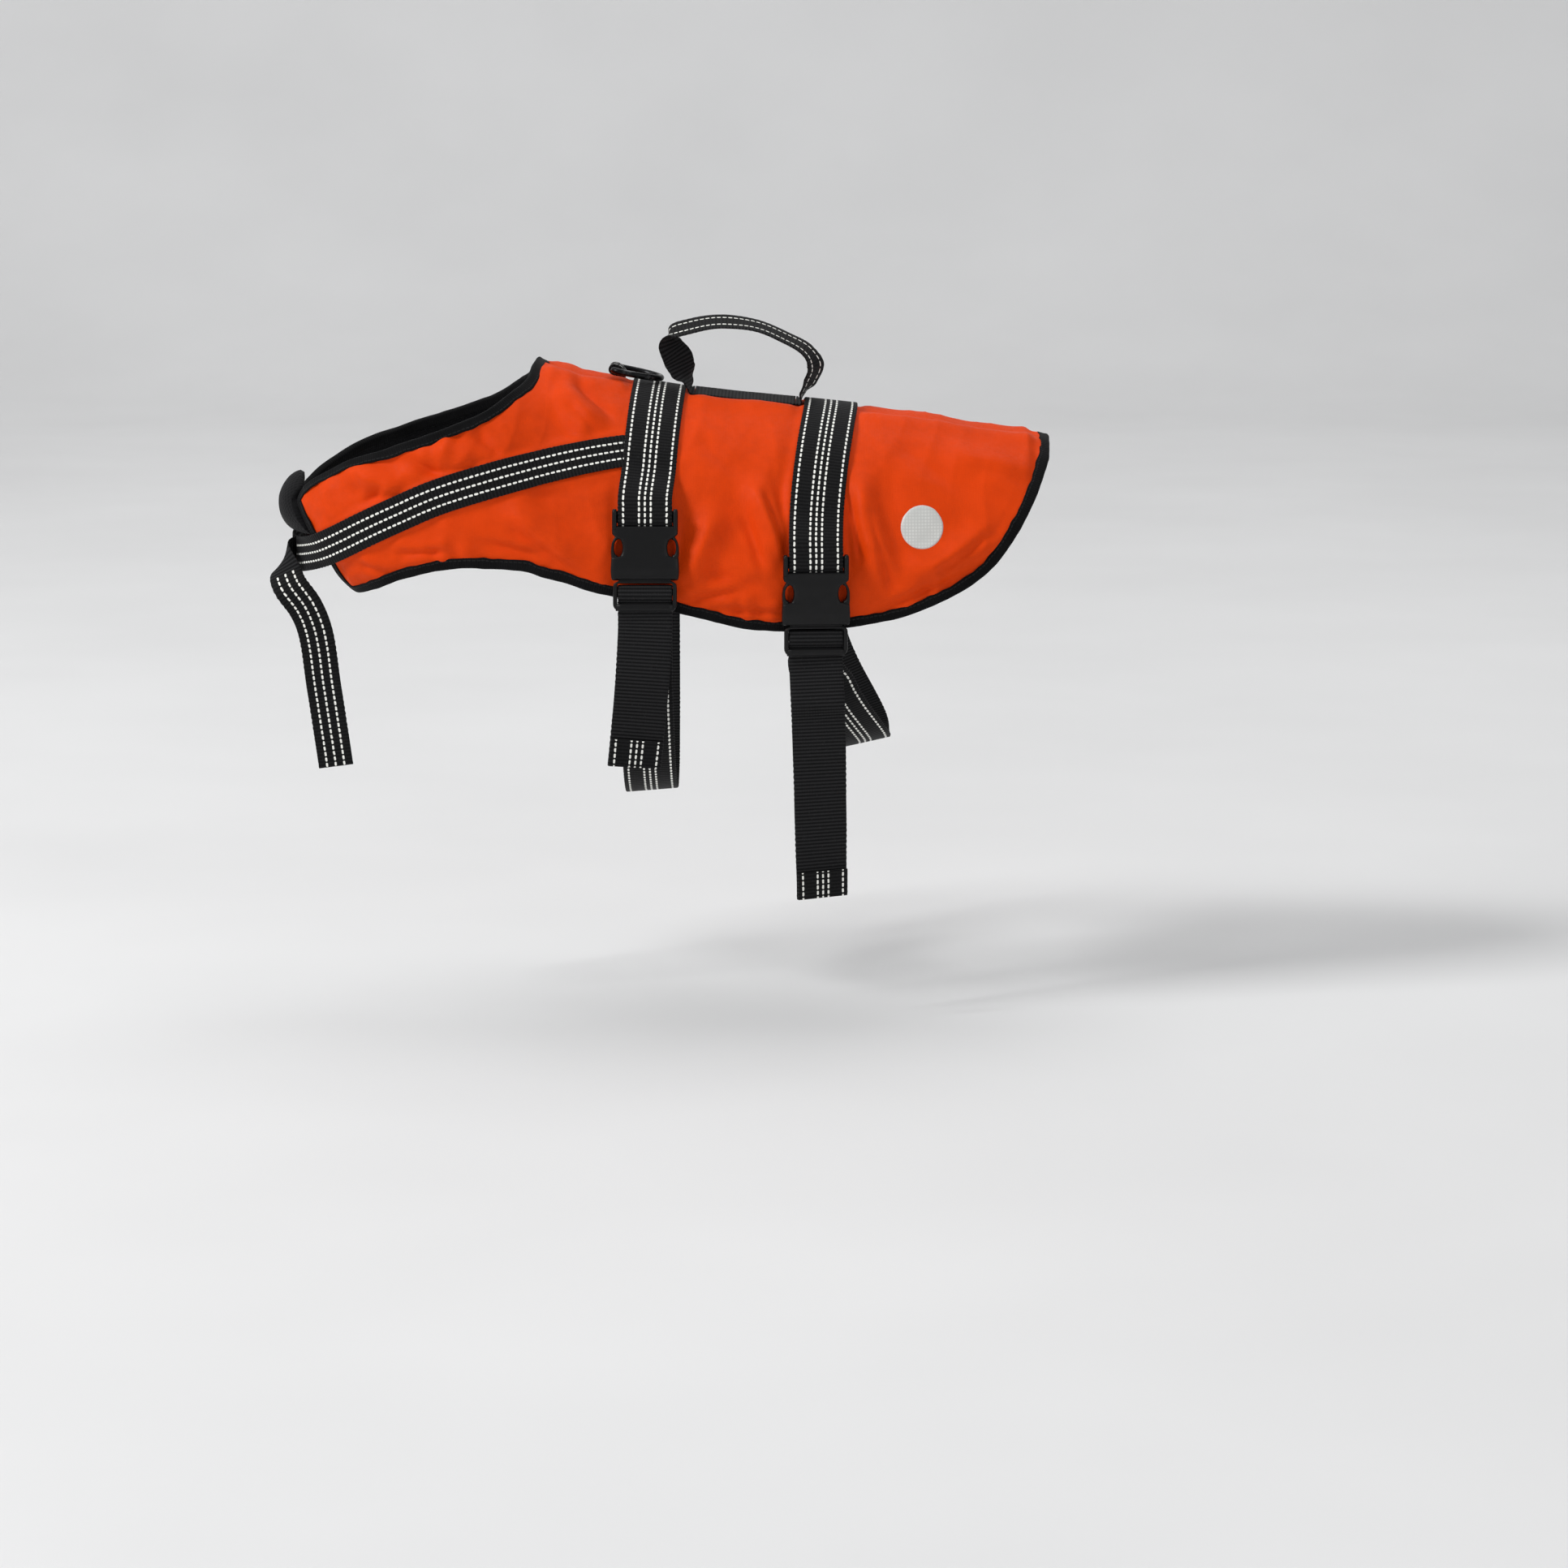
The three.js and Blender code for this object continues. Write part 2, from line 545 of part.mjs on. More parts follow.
function femaleBuckle(frame) {
  const right = BUCKLE_OUTLINE.map(({ half, down }) => new THREE.Vector2(half, -down));
  const left = [...BUCKLE_OUTLINE].reverse().map(({ half, down }) => new THREE.Vector2(-half, -down));
  const shape = new THREE.Shape([...right, ...left]);
  for (const side of [-1, 1]) {
    const window = new THREE.Path();
    window.absellipse(side * BUCKLE.windowX, BUCKLE.windowY, BUCKLE.windowWide / 2, BUCKLE.windowLong / 2,
      0, 2 * Math.PI, false, side * 0.12);
    shape.holes.push(window);
  }
  const recess = block(-BUCKLE.slotHalf, BUCKLE.slotHalf, -BUCKLE.recessDepth, 2, -1, BUCKLE.recessTop);
  return fromManifold(plate(shape, BUCKLE.back, BUCKLE.thick).subtract(recess), frame);
}

// The adjuster of the male part: a frame whose middle bar carries the webbing and whose end bar clears it.
// web is the height at which webbing comes in at either end of the buckle.
const ADJUSTER = {
  top: -49.3, slot1: [-55, -51.5], slot2: [-66, -60.5], low: 2.9, high: 8, bar: 5, endLow: 4.8, web: 1.6,
};

function maleBuckle(frame) {
  const { top, slot1, slot2, low, high, bar, endLow } = ADJUSTER;
  const half = BUCKLE.frameHalf;
  const inner = BUCKLE.slotHalf;
  const body = block(-half, half, BUCKLE.end, top, low, high)
    .subtract(block(-inner, inner, ...slot1, 0, 12))
    .subtract(block(-inner, inner, ...slot2, 0, 12))
    .subtract(block(-inner, inner, slot2[1] - 0.1, slot1[0] + 0.1, bar, 12))
    .subtract(block(-inner, inner, BUCKLE.end - 1, slot2[0] + 0.1, 0, endLow));
  return fromManifold(body, frame);
}

function across(frame) {
  return V(1, 0, 0).transformDirection(frame);
}

// The path of a strap's free end: over the middle bar, down through the second slot, under the end bar.
const OVER_BAR = [
  { y: -53.7, z: 3.3 }, { y: -53.7, z: 5 }, { y: -54.6, z: 6.1 }, { y: -56, z: 6.5 }, { y: -59.6, z: 6.5 },
  { y: -61.2, z: 6.1 }, { y: -63.4, z: 4.9 }, { y: -65, z: 3.8 }, { y: -66.8, z: 3.6 }, { y: -71.6, z: 3.6 },
];

// How a girth strap comes up under the adjuster to its first slot.
const UNDER_ADJUSTER = [
  { y: BUCKLE.end - 8, z: -1.2 }, { y: BUCKLE.end, z: 0.9 }, { y: ADJUSTER.slot2[0], z: 1.5 },
  { y: ADJUSTER.slot1[0], z: 1.5 },
];
// Where a girth strap lies on the figure: from above its buckle, past the far hem and up to below the buckle.
const STRAP_RUN = { above: 24, below: 22, pastHem: 3, stations: 21 };

// The turned-up end of a strap: its last stretch again, laid on its outer side.
function foldedEnd(rows, step) {
  const stations = webStations(rows, step);
  const tip = stations[stations.length - 1].at;
  return stations.filter(({ at }) => at.distanceTo(tip) < HEM_FOLD + step / 2).map(({ at, across, out }) => {
    const off = out.clone().multiplyScalar(Math.sign(-out.y) * (GIRTH_WEB.thick + SEAM));
    return { at: at.clone().add(off), across, out };
  });
}

function girthPieces(name, girth, tail) {
  const frame = girthFrame(girth);
  const wide = across(frame);
  const inFrame = (y, z) => ({ at: local(frame, 0, y, z), across: wide.clone() });
  const start = sideView(girth.buckleX, girth.buckleTop + STRAP_RUN.above).angle;
  const hemAngle = -sideView(girth.buckleX, hemHeight(girth.buckleX) - STRAP_RUN.pastHem).angle;
  const overPanel = spread(start, hemAngle, STRAP_RUN.stations)
    .map((angle) => webAt(girth, angle, PANEL_WEB));
  const top = [inFrame(-BUCKLE.recessDepth + SEAM, ADJUSTER.web), inFrame(0, ADJUSTER.web)];
  const { under, snug } = GIRTH_TURNS;
  const hold = (turn) => BELLY_LIFT + (PANEL_WEB - BELLY_LIFT) * (1 - smooth(Math.abs(turn), under, snug));
  const bellyTo = 2 * Math.PI + sideView(girth.buckleX, girth.buckleTop + BUCKLE.end - STRAP_RUN.below).angle;
  const belly = spread(hemAngle, bellyTo, STRAP_RUN.stations).slice(1).map((angle) => {
    const wrapped = angle > Math.PI ? angle - 2 * Math.PI : angle;
    return webAt(girth, wrapped, hold(wrapped));
  });
  const upTo = UNDER_ADJUSTER.map(({ y, z }) => inFrame(y, z));
  const stations = webStations([...top, ...overPanel, ...belly, ...upTo]);
  const hem = stations.findIndex(({ stop }) => stop === top.length + overPanel.length - 1);
  const [cut, ...below] = stations.slice(hem);
  const past = { ...cut, at: cut.at.clone().addScaledVector(cut.out.clone().cross(cut.across), SEAM) };
  add(`girth_strap_${name}`, webSolid(stations.slice(0, hem + 1), GIRTH_WEB), finish.web);
  add(`belly_strap_${name}`, webSolid([past, ...below], GIRTH_WEB), finish.web);

  const bend = OVER_BAR.map(({ y, z }) => inFrame(y, z));
  const from = bend[bend.length - 1].at;
  const hang = tail.map(({ x, y, z, turn }) => ({
    at: from.clone().add(V(x, y, z)), across: V(Math.cos(radians(turn)), Math.sin(radians(turn)), 0),
  }));
  add(`tail_${name}`, webbing([...bend, ...hang], GIRTH_WEB, TAIL_STEP), finish.web);
  add(`tail_hem_${name}`, webSolid(foldedEnd([...bend, ...hang], TAIL_STEP), GIRTH_WEB), finish.web);
  add(`buckle_${name}_female`, femaleBuckle(frame), finish.plastic);
  add(`buckle_${name}_male`, maleBuckle(frame), finish.plastic);
}

function hemHeight(x) {
  return outline("hemZ", columnStops.find((s) => outline("hemX", s) >= x));
}

function handlePieces() {
  const { fromX, toX, bend, lift } = HANDLE_BASE;
  const rise = (x) => trunk("back", x) + PANEL.full + lift + CHEST_WEB.thick / 2;
  const flat = (x) => ({ at: V(x, 0, rise(x)), across: V(0, 1, 0) });
  add("handle_base", webbing(spread(fromX, toX, 4).map(flat), CHEST_WEB, 18), finish.web);
  const arch = HANDLE.map(({ x, z, turn, tilt }) => {
    const level = Math.cos(radians(tilt));
    return {
      at: V(x, 0, z),
      across: V(Math.sin(radians(turn)) * level, Math.cos(radians(turn)) * level, Math.sin(radians(tilt))),
    };
  });
  const feet = [flat(fromX - SEAM), flat(fromX - SEAM - bend), flat(toX + SEAM + bend), flat(toX + SEAM)];
  add("handle_arch", webbing([feet[0], feet[1], ...arch, feet[2], feet[3]], CHEST_WEB, 6), finish.web);
}

// The leash ring's centre line on the spine plane, and the web loop that carries its bar.
function ringPieces() {
  const webTop = (x) => trunk("back", x) + PANEL.full + WEB_LIFT;
  const bar = V(RING.barX, 0, webTop(RING.barX) + RING_LOOP.thick + SEAM * 2 + RING.wire / 2);
  const tipX = RING.barX + RING.depth;
  const tip = V(tipX, 0, webTop(tipX) + GIRTH_WEB.thick + SEAM * 2 + RING.wire / 2);
  const back = tip.clone().sub(bar).normalize();
  const side = V(0, 1, 0);
  const off = back.clone().cross(side).normalize();
  const point = (b, s) => bar.clone().addScaledVector(back, b).addScaledVector(side, s);
  const { half, corner, depth, bow } = RING;
  const line = [];
  for (const s of [-1, 0, 1]) line.push(point(0, s * (half - corner)));
  for (const a of [45, 90]) {
    line.push(point(corner * (1 - Math.cos(radians(a))), half - corner + corner * Math.sin(radians(a))));
  }
  for (let a = 0; a <= 180; a += 15) {
    line.push(point(depth - bow + bow * Math.sin(radians(a)), half * Math.cos(radians(a))));
  }
  for (const a of [90, 45]) {
    line.push(point(corner * (1 - Math.cos(radians(a))), -half + corner - corner * Math.sin(radians(a))));
  }
  const rings = line.map((at, k) => {
    const before = line[(k + line.length - 1) % line.length];
    const run = line[(k + 1) % line.length].clone().sub(before).normalize();
    const wide = run.clone().cross(off).normalize();
    return Array.from({ length: RING.sides }, (_, j) => {
      const a = ((j + 0.5) / RING.sides) * 2 * Math.PI;
      return at.clone().addScaledVector(wide, (Math.cos(a) * RING.wire) / 2)
        .addScaledVector(off, (Math.sin(a) * RING.wire) / 2);
    });
  });
  add("leash_ring", geometryOf(sweep([...rings, rings[0]])), finish.metal);

  const reach = RING.wire / 2 + SEAM + RING_LOOP.thick / 2;
  const end = RING_LOOP.endX - RING.barX;
  const lower = bar.clone().addScaledVector(off, -reach);
  const upper = bar.clone().addScaledVector(off, reach);
  const loop = [lower.clone().addScaledVector(back, end), lower.clone().addScaledVector(back, end / 2)];
  for (const a of [-90, -45, 0, 45, 90]) {
    loop.push(bar.clone().addScaledVector(back, -reach * Math.cos(radians(a)))
      .addScaledVector(off, reach * Math.sin(radians(a))));
  }
  loop.push(upper.clone().addScaledVector(back, end / 2).addScaledVector(off, -1));
  loop.push(lower.clone().addScaledVector(back, end).addScaledVector(off, RING_LOOP.thick + SEAM));
  const rows = loop.map((at) => ({ at, across: side.clone() }));
  add("ring_loop", webbing(rows, RING_LOOP, 2.5), finish.web);
}

// The angle from the spine at which a section of the figure reaches height z.
function angleAt(section, z) {
  const back = trunk("back", section);
  const belly = trunk("belly", section);
  return Math.acos(clamp((z - (back + belly) / 2) / ((back - belly) / 2), -1, 1));
}

// The section of the rounded chest that is y wide at height z, by halving.
function chestSection(y, z) {
  let narrow = CHEST.start - CHEST.reach;
  let wide = CHEST.start;
  for (let pass = 0; pass < 30; pass += 1) {
    const half = (narrow + wide) / 2;
    if (figure(half, angleAt(half, z)).y < Math.abs(y)) narrow = half;
    else wide = half;
  }
  return wide;
}

// A point of the rounded chest at side offset y and height z, moved off it by out.
function chestPoint(y, z, out) {
  const at = (yy, zz) => {
    const section = chestSection(yy, zz);
    return V(figure(section, angleAt(section, zz)).x, yy, zz);
  };
  const d = 1;
  const normal = at(y + d, z).sub(at(y - d, z)).cross(at(y, z + d).sub(at(y, z - d))).normalize();
  return at(y, z).addScaledVector(normal, normal.x < 0 ? out : -out);
}

// The side offset of a wing's front edge at height z.
function wingEdge(edge, z) {
  const frontEdge = spread(0, WING_ROWS, 10 * WING_ROWS);
  const stops = frontEdge.map((s) => figure(place(edge, "section", s), place(edge, "angle", s)));
  const nearest = stops.reduce((best, at) => (Math.abs(at.z - z) < Math.abs(best.z - z) ? at : best));
  return Math.abs(nearest.y);
}

// The padded piece that closes the neck between the wings, thickest in its middle.
function chestPad() {
  const { top, bottom, arch, fromWing, thick, bulge, columns, rows, square, rim } = CHEST_PAD;
  const swell = (t) => Math.sin(Math.PI * (rim + (1 - 2 * rim) * t));
  const grid = spread(0, 1, columns).map((t) => spread(0, 1, rows).map((v) => {
    const edgeZ = top + (bottom - top) * v;
    const left = fromWing - wingEdge("left", edgeZ);
    const right = wingEdge("right", edgeZ) - fromWing;
    const rise = arch * (1 - v) * Math.sin(Math.PI * t) ** square;
    const out = thick + bulge * swell(v) * swell(t) ** square;
    return { y: left + (right - left) * t, z: edgeZ + rise, out };
  }));
  const inner = grid.map((column) => column.map(({ y, z }) => chestPoint(y, z, 0)));
  const outer = grid.map((column) => column.map(({ y, z, out }) => chestPoint(y, z, out)));
  add("chest_pad", wall(inner, outer), finish.web);
}

// The chest strap runs over each wing to the chest buckle. Its free end bulges forward and hangs down.
function chestPieces() {
  const onPanel = (side) => CHEST_LINE.map(({ x, z }, k) => {
    const spot = sideView(x, z);
    const next = CHEST_LINE[Math.min(k + 1, CHEST_LINE.length - 1)];
    const last = CHEST_LINE[Math.max(k - 1, 0)];
    const toward = sideView(next.x, next.z);
    const away = sideView(last.x, last.z);
    const out = PANEL.full + WEB_LIFT + CHEST_WEB.thick / 2;
    const behind = lifted(away.section, away.angle, out);
    const run = lifted(toward.section, toward.angle, out).sub(behind).normalize();
    const width = run.clone().cross(outward(spot.section, spot.angle)).normalize();
    const at = lifted(spot.section, spot.angle, out);
    return { at: V(at.x, -side * at.y, at.z), across: V(width.x, -side * width.y, width.z) };
  });
  const inFrame = (y, z, upright = 1) => ({ at: local(chestFrame, 0, y, z), across: V(0, 0, upright) });
  const { web, slot1 } = ADJUSTER;
  const deep = 2 * SEAM / CHEST_BUCKLE_SCALE - BUCKLE.recessDepth;
  const { end } = BUCKLE;
  const leftEnd = [inFrame(end - CHEST_RUN, web / 2), inFrame(end, web), inFrame(slot1[0], web)];
  const rightEnd = [inFrame(CHEST_RUN, web / 2), inFrame(0, web), inFrame(deep, web)];
  add("chest_strap_left", webbing([...onPanel(-1), ...leftEnd], CHEST_WEB), finish.web);
  add("chest_strap_right", webbing([...onPanel(1), ...rightEnd], CHEST_WEB), finish.web);
  const over = OVER_BAR.map(({ y, z }) => inFrame(y, z, -1));
  const hang = CHEST_TAIL.map(({ x, y, z, wideX, wideZ }) => (
    { at: V(x, y, z), across: V(wideX, 0, wideZ) }));
  add("chest_tail", webbing([...over, ...hang], CHEST_WEB, TAIL_STEP), finish.web);
  add("buckle_chest_female", femaleBuckle(chestFrame), finish.plastic);
  add("buckle_chest_male", maleBuckle(chestFrame), finish.plastic);
}

add("panel_left", panelWall(-1), finish.shell);
add("panel_right", panelWall(1), finish.shell);
tapes();
girthPieces("front", GIRTHS.front, TAILS.front);
girthPieces("rear", GIRTHS.rear, TAILS.rear);
handlePieces();
ringPieces();
chestPad();
chestPieces();

export default group;
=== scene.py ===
"""Dog life jacket, buckled and hollow as worn, dressed on its fixed frame.

The garment faces -X, its left side is -Y and +Z is up. Shapes are worked out in millimetres from the same
cut as the solids and are written to the meshes in metres.
"""
import math
from functools import partial

import bpy
import numpy as np
from bpy.props import FloatProperty, FloatVectorProperty, PointerProperty
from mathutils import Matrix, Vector


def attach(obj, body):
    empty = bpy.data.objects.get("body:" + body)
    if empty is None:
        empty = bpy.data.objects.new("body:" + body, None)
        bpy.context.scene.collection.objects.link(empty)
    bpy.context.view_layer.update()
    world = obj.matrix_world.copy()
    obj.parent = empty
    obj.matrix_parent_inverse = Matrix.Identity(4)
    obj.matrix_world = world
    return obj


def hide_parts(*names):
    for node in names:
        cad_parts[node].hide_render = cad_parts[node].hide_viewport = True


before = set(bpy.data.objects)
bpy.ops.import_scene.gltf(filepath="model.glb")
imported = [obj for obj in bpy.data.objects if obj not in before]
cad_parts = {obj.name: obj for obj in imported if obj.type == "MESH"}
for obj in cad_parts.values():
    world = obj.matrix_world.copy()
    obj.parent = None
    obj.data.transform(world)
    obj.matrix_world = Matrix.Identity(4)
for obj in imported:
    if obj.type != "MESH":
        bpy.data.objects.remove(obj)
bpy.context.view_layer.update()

bl_info = {
    "name": "Dog life jacket",
    "version": (1, 0, 0),
    "blender": (4, 5, 0),
    "location": "View3D > Sidebar > Jacket",
    "description": "Padded dog life jacket with webbing, buckles, grab handle and leash ring",
    "category": "Add Mesh",
}

MM = 0.001
SEAM = 0.3


# Colours and sizes a user would change


def linear(hex_colour):
    """Linear colour of an sRGB hex value such as "#D63F08"."""
    channels = [int(hex_colour[k:k + 2], 16) / 255 for k in (1, 3, 5)]
    return tuple(c / 12.92 if c <= 0.04045 else ((c + 0.055) / 1.055) ** 2.4 for c in channels)


def colour_prop(name, description, hex_colour):
    return FloatVectorProperty(
        name=name, description=description, subtype="COLOR", size=3, min=0, max=1, default=linear(hex_colour))


def length_prop(name, description, millimetres):
    return FloatProperty(
        name=name, description=description, default=millimetres * MM, min=0, unit="LENGTH",
        subtype="DISTANCE")


class JacketPanels(bpy.types.PropertyGroup):
    full: length_prop("Foam thickness", "Thickness of a panel in the middle of its padding", 7)
    edge: length_prop("Edge thickness", "Thickness of a panel where its edge is bound", 3.8)
    spine: length_prop("Seam thickness", "Thickness of a panel at the spine seam", 3.4)
    taper: length_prop("Taper", "How far in from an edge the padding reaches its full thickness", 16)
    crown: length_prop("Crown", "Extra swell of the padding away from the straps", 1.1)
    crinkle: length_prop("Crinkle", "Depth of the fine creases of the shell fabric", 1.3)
    shell: colour_prop("Shell", "Coated polyester shell", "#DE4000")
    lining: colour_prop("Lining", "Knitted mesh lining", "#0C0C0E")
    pad: colour_prop("Chest pad", "Fabric of the padded front piece", "#0B0B0D")
    binding: colour_prop("Binding", "Woven edge tape", "#080809")


class JacketWebbing(bpy.types.PropertyGroup):
    girth_width: length_prop("Girth width", "Width of the girth webbing", 38)
    girth_thick: length_prop("Girth thickness", "Thickness of the girth webbing", 1.8)
    chest_width: length_prop("Chest width", "Width of the chest and handle webbing", 25)
    chest_thick: length_prop("Chest thickness", "Thickness of the chest and handle webbing", 1.3)
    rib: length_prop("Rib spacing", "Distance between the ribs woven across the webbing", 2.5)
    dash: length_prop("Stitch spacing", "Distance between the reflective stitches", 4)
    cloth: colour_prop("Webbing", "Nylon webbing", "#060607")
    thread: colour_prop("Reflective thread", "Reflective stitches in the webbing", "#FBFBF4")


class JacketHardware(bpy.types.PropertyGroup):
    wire: length_prop("Ring wire", "Diameter of the leash ring's wire", 4.6)
    disc: length_prop("Disc radius", "Radius of the plain reflective disc on the left panel", 15)
    plastic: colour_prop("Buckle", "Moulded acetal", "#0C0C0D")
    metal: colour_prop("Ring", "Black coated steel", "#0D0D0F")
    film: colour_prop("Disc", "Reflective film", "#D9DAD6")


class JacketStage(bpy.types.PropertyGroup):
    floor_height: FloatProperty(
        name="Floor height", description="Height of the floor below the spine", default=-0.43,
        unit="LENGTH", subtype="DISTANCE")
    floor: colour_prop("Floor", "Plain pale floor and backdrop", "#E9E9E9")
    key_power: FloatProperty(
        name="Key light", description="Power of the key light", default=215, min=0, unit="POWER")
    fill_power: FloatProperty(
        name="Fill light", description="Power of the fill light", default=72, min=0, unit="POWER")


# The general figure inside the garment

# Sections: x, heights of the back and the belly, and half width.
TRUNK_COLUMNS = ("x", "back", "belly", "half")
TRUNK = np.array([
    (-330, 150, -210, 84), (-250, 122, -235, 84), (-200, 78, -255, 92), (-170, 49, -268, 96),
    (-138, 25, -276, 99), (-100, 16, -279, 101), (-62, 7.5, -277, 101), (0, 0, -262, 99),
    (62, -6, -248, 95), (115, -12, -236, 91), (160, -18, -226, 87), (230, -27, -210, 80),
], float)
# The rounded chest: where it starts and how far it reaches, and how it leans back away from one height.
CHEST = {
    "start": -229, "reach": 95, "lean_from": -215, "lean_to": -324, "height": -74, "lean": 0.0115, "most": 80,
}


def smooth(x, low, high):
    """Smooth step from 0 at low to 1 at high: 3t^2 - 2t^3."""
    t = np.clip((np.asarray(x, float) - low) / (high - low), 0, 1)
    return t * t * (3 - 2 * t)


def monotone(xs, ys, x):
    """Cubic through the points that never overshoots one: Hermite pieces whose tangents are the harmonic mean
    of the slopes on either side, or 0 where those differ in sign."""
    xs, ys, x = (np.asarray(a, float) for a in (xs, ys, x))
    slope = np.diff(ys) / np.diff(xs)
    a, b = slope[:-1], slope[1:]
    total = np.where(a * b > 0, a + b, 1)
    tangent = np.concatenate((slope[:1], np.where(a * b > 0, 2 * a * b / total, 0), slope[-1:]))
    i = np.clip(np.searchsorted(xs, x) - 1, 0, len(xs) - 2)
    h = xs[i + 1] - xs[i]
    t = np.clip((x - xs[i]) / h, 0, 1)
    return ((2 * t ** 3 - 3 * t ** 2 + 1) * ys[i] + (t ** 3 - 2 * t ** 2 + t) * h * tangent[i]
            + (3 * t ** 2 - 2 * t ** 3) * ys[i + 1] + (t ** 3 - t ** 2) * h * tangent[i + 1])


def trunk(column, x):
    """A column of the section table at x."""
    return monotone(TRUNK[:, 0], TRUNK[:, TRUNK_COLUMNS.index(column)], x)


def chest_lean(x, z):
    """How far the rounded chest leans back from its upright nose line at height z: lean times the square of
    the height above or below that line, faded in towards the front."""
    blend = 1 - smooth(x, CHEST["lean_to"], CHEST["lean_from"])
    return blend * CHEST["lean"] * np.minimum(np.abs(z - CHEST["height"]), CHEST["most"]) ** 2


def figure(x, angle):
    """Points of the figure: an ellipse in each section, its angle turned from the spine and negative on the
    left, narrowed to a round chest and leaned back at the front."""
    x, angle = np.broadcast_arrays(np.asarray(x, float), np.asarray(angle, float))
    back, belly = trunk("back", x), trunk("belly", x)
    z = (back + belly) / 2 + (back - belly) / 2 * np.cos(angle)
    narrow = np.sqrt(np.maximum(0, 1 - (np.maximum(0, CHEST["start"] - x) / CHEST["reach"]) ** 2))
    y = trunk("half", x) * narrow * np.sin(angle)
    return np.stack((x + chest_lean(x, z), y, z), -1)


def unit(v):
    """Vectors divided by their lengths."""
    return v / np.maximum(np.linalg.norm(v, axis=-1, keepdims=True), 1e-12)


def outward(x, angle, step=0.1, turn=0.01):
    """Unit normals of the figure: the cross product of its two directions."""
    along = figure(x + step, angle) - figure(x - step, angle)
    around = figure(x, angle + turn) - figure(x, angle - turn)
    return unit(np.cross(along, around))


def lifted(x, angle, out):
    """Points of the figure moved out along its normals."""
    return figure(x, angle) + outward(x, angle) * np.asarray(out, float)[..., None]


def angle_at(section, z):
    """Angle from the spine at which a section of the figure reaches height z."""
    back, belly = trunk("back", section), trunk("belly", section)
    return np.arccos(np.clip((z - (back + belly) / 2) / ((back - belly) / 2), -1, 1))


def side_view(x, z):
    """Section and angle of the figure's left side that show at x and z in side view."""
    section = np.asarray(x, float)
    for _ in range(12):
        section = x - chest_lean(section, z)
    return section, -angle_at(section, z)


# The cut of a side panel, front to rear: a point of its neck and spine edge, one of its front and hem edge,
# and how much further forward the right panel's hem goes. Rows on the spine seam have SPINE_ROW for height.
SPINE_ROW = None
OUTLINE = (
    (-309, -56, -314, -65, 6), (-300, -49, -305, -82, 8), (-289, -42.5, -292, -101, 10),
    (-275, -35, -283, -117, 11), (-262, -30, -273, -125, 11), (-248, -25, -257, -120.5, 9),
    (-228, -17.5, -235, -112, 5), (-205, -9.5, -208, -105.5, 0), (-184, -1.5, -184, -104, 0),
    (-166, 10, -164, -104.8, 0), (-152, 21, -146, -107.5, 0), (-146, SPINE_ROW, -128, -112.5, 0),
    (-120, SPINE_ROW, -106, -119.5, 0), (-80, SPINE_ROW, -72, -127, 0), (-35, SPINE_ROW, -33, -137.5, 0),
    (15, SPINE_ROW, 10, -147, 0), (65, SPINE_ROW, 60, -147.5, 0), (110, SPINE_ROW, 104, -141, 0),
    (145, SPINE_ROW, 140, -128.5, 0), (175, SPINE_ROW, 172, -109, 0), (195, SPINE_ROW, 195, -80, 0),
    (208, SPINE_ROW, 209, -54, 0), (219, SPINE_ROW, 217, -36, 0),
)
NAPE_ROW = 11
WING_ROWS = 4

# Creases of the shell in side view: from one point to another, width, and height before the crease gain.
# Troughs are negative.
CREASES = (
    (-272, -38, -240, -52, 9, 1.8), (-214, -20, -188, -36, 10, 1.5), (-130, 8, -104, -14, 9, 1.8),
    (-160, -66, -112, -100, 12, 1.6), (-36, -110, -18, -70, 10, 1.5), (8, -52, 26, -96, 10, 2),
    (82, -50, 96, -104, 10, 2), (120, -112, 168, -88, 11, 1.5), (150, -36, 196, -48, 10, 1.3),
    (-126, 2, -98, -22, 4, -0.9), (-118, 12, -92, -8, 3.5, -0.7), (-232, -30, -206, -44, 5, -0.8),
    (-186, -14, -170, -30, 4, -0.6), (-250, -48, -262, -66, 5, -0.7), (16, -58, 31, -94, 3, -1.0),
    (2, -70, 14, -104, 4, -0.7), (76, -62, 84, -100, 3, -0.9), (88, -70, 104, -118, 4, -0.7),
    (-40, -128, 2, -120, 4, -0.8), (-14, -134, 34, -136, 3.5, -0.7), (-24, -108, 12, -118, 5, -0.6),
    (104, -132, 150, -112, 4, -0.8), (130, -116, 176, -84, 4, -0.7), (168, -44, 206, -54, 5, -0.6),
    (-160, -78, -120, -106, 4, -0.8), (-176, -88, -140, -96, 4, -0.6), (-30, -24, -4, -44, 6, -0.5),
    (112, -30, 150, -52, 7, -0.6), (-240, -96, -206, -94, 4, -0.7), (-266, -104, -244, -112, 3.5, -0.6),
)

# The side-view x of each girth strap over the spine, at its buckle and under the belly, and its buckle's top.
GIRTHS = {
    "front": {"spine_x": -60.5, "buckle_x": -67.5, "belly_x": -66.5, "buckle_top": -64.5},
    "rear": {"spine_x": 62.9, "buckle_x": 51.3, "belly_x": 88, "buckle_top": -94.5},
}
# Angles from the spine where a girth strap has turned to its buckle, leaves the panel, is snug and is below.
GIRTH_TURNS = {"side": 1.3, "under": 1.7, "snug": 2.5, "belly": 2.9}
# How far the belly webbing stays off the figure and the sewn webbing off the padding.
BELLY_LIFT = 2.5
WEB_LIFT = 1
# Half the girth webbing and half the chest webbing, past which the padding starts to swell.
HALF_GIRTH, HALF_CHEST = 19, 12.5
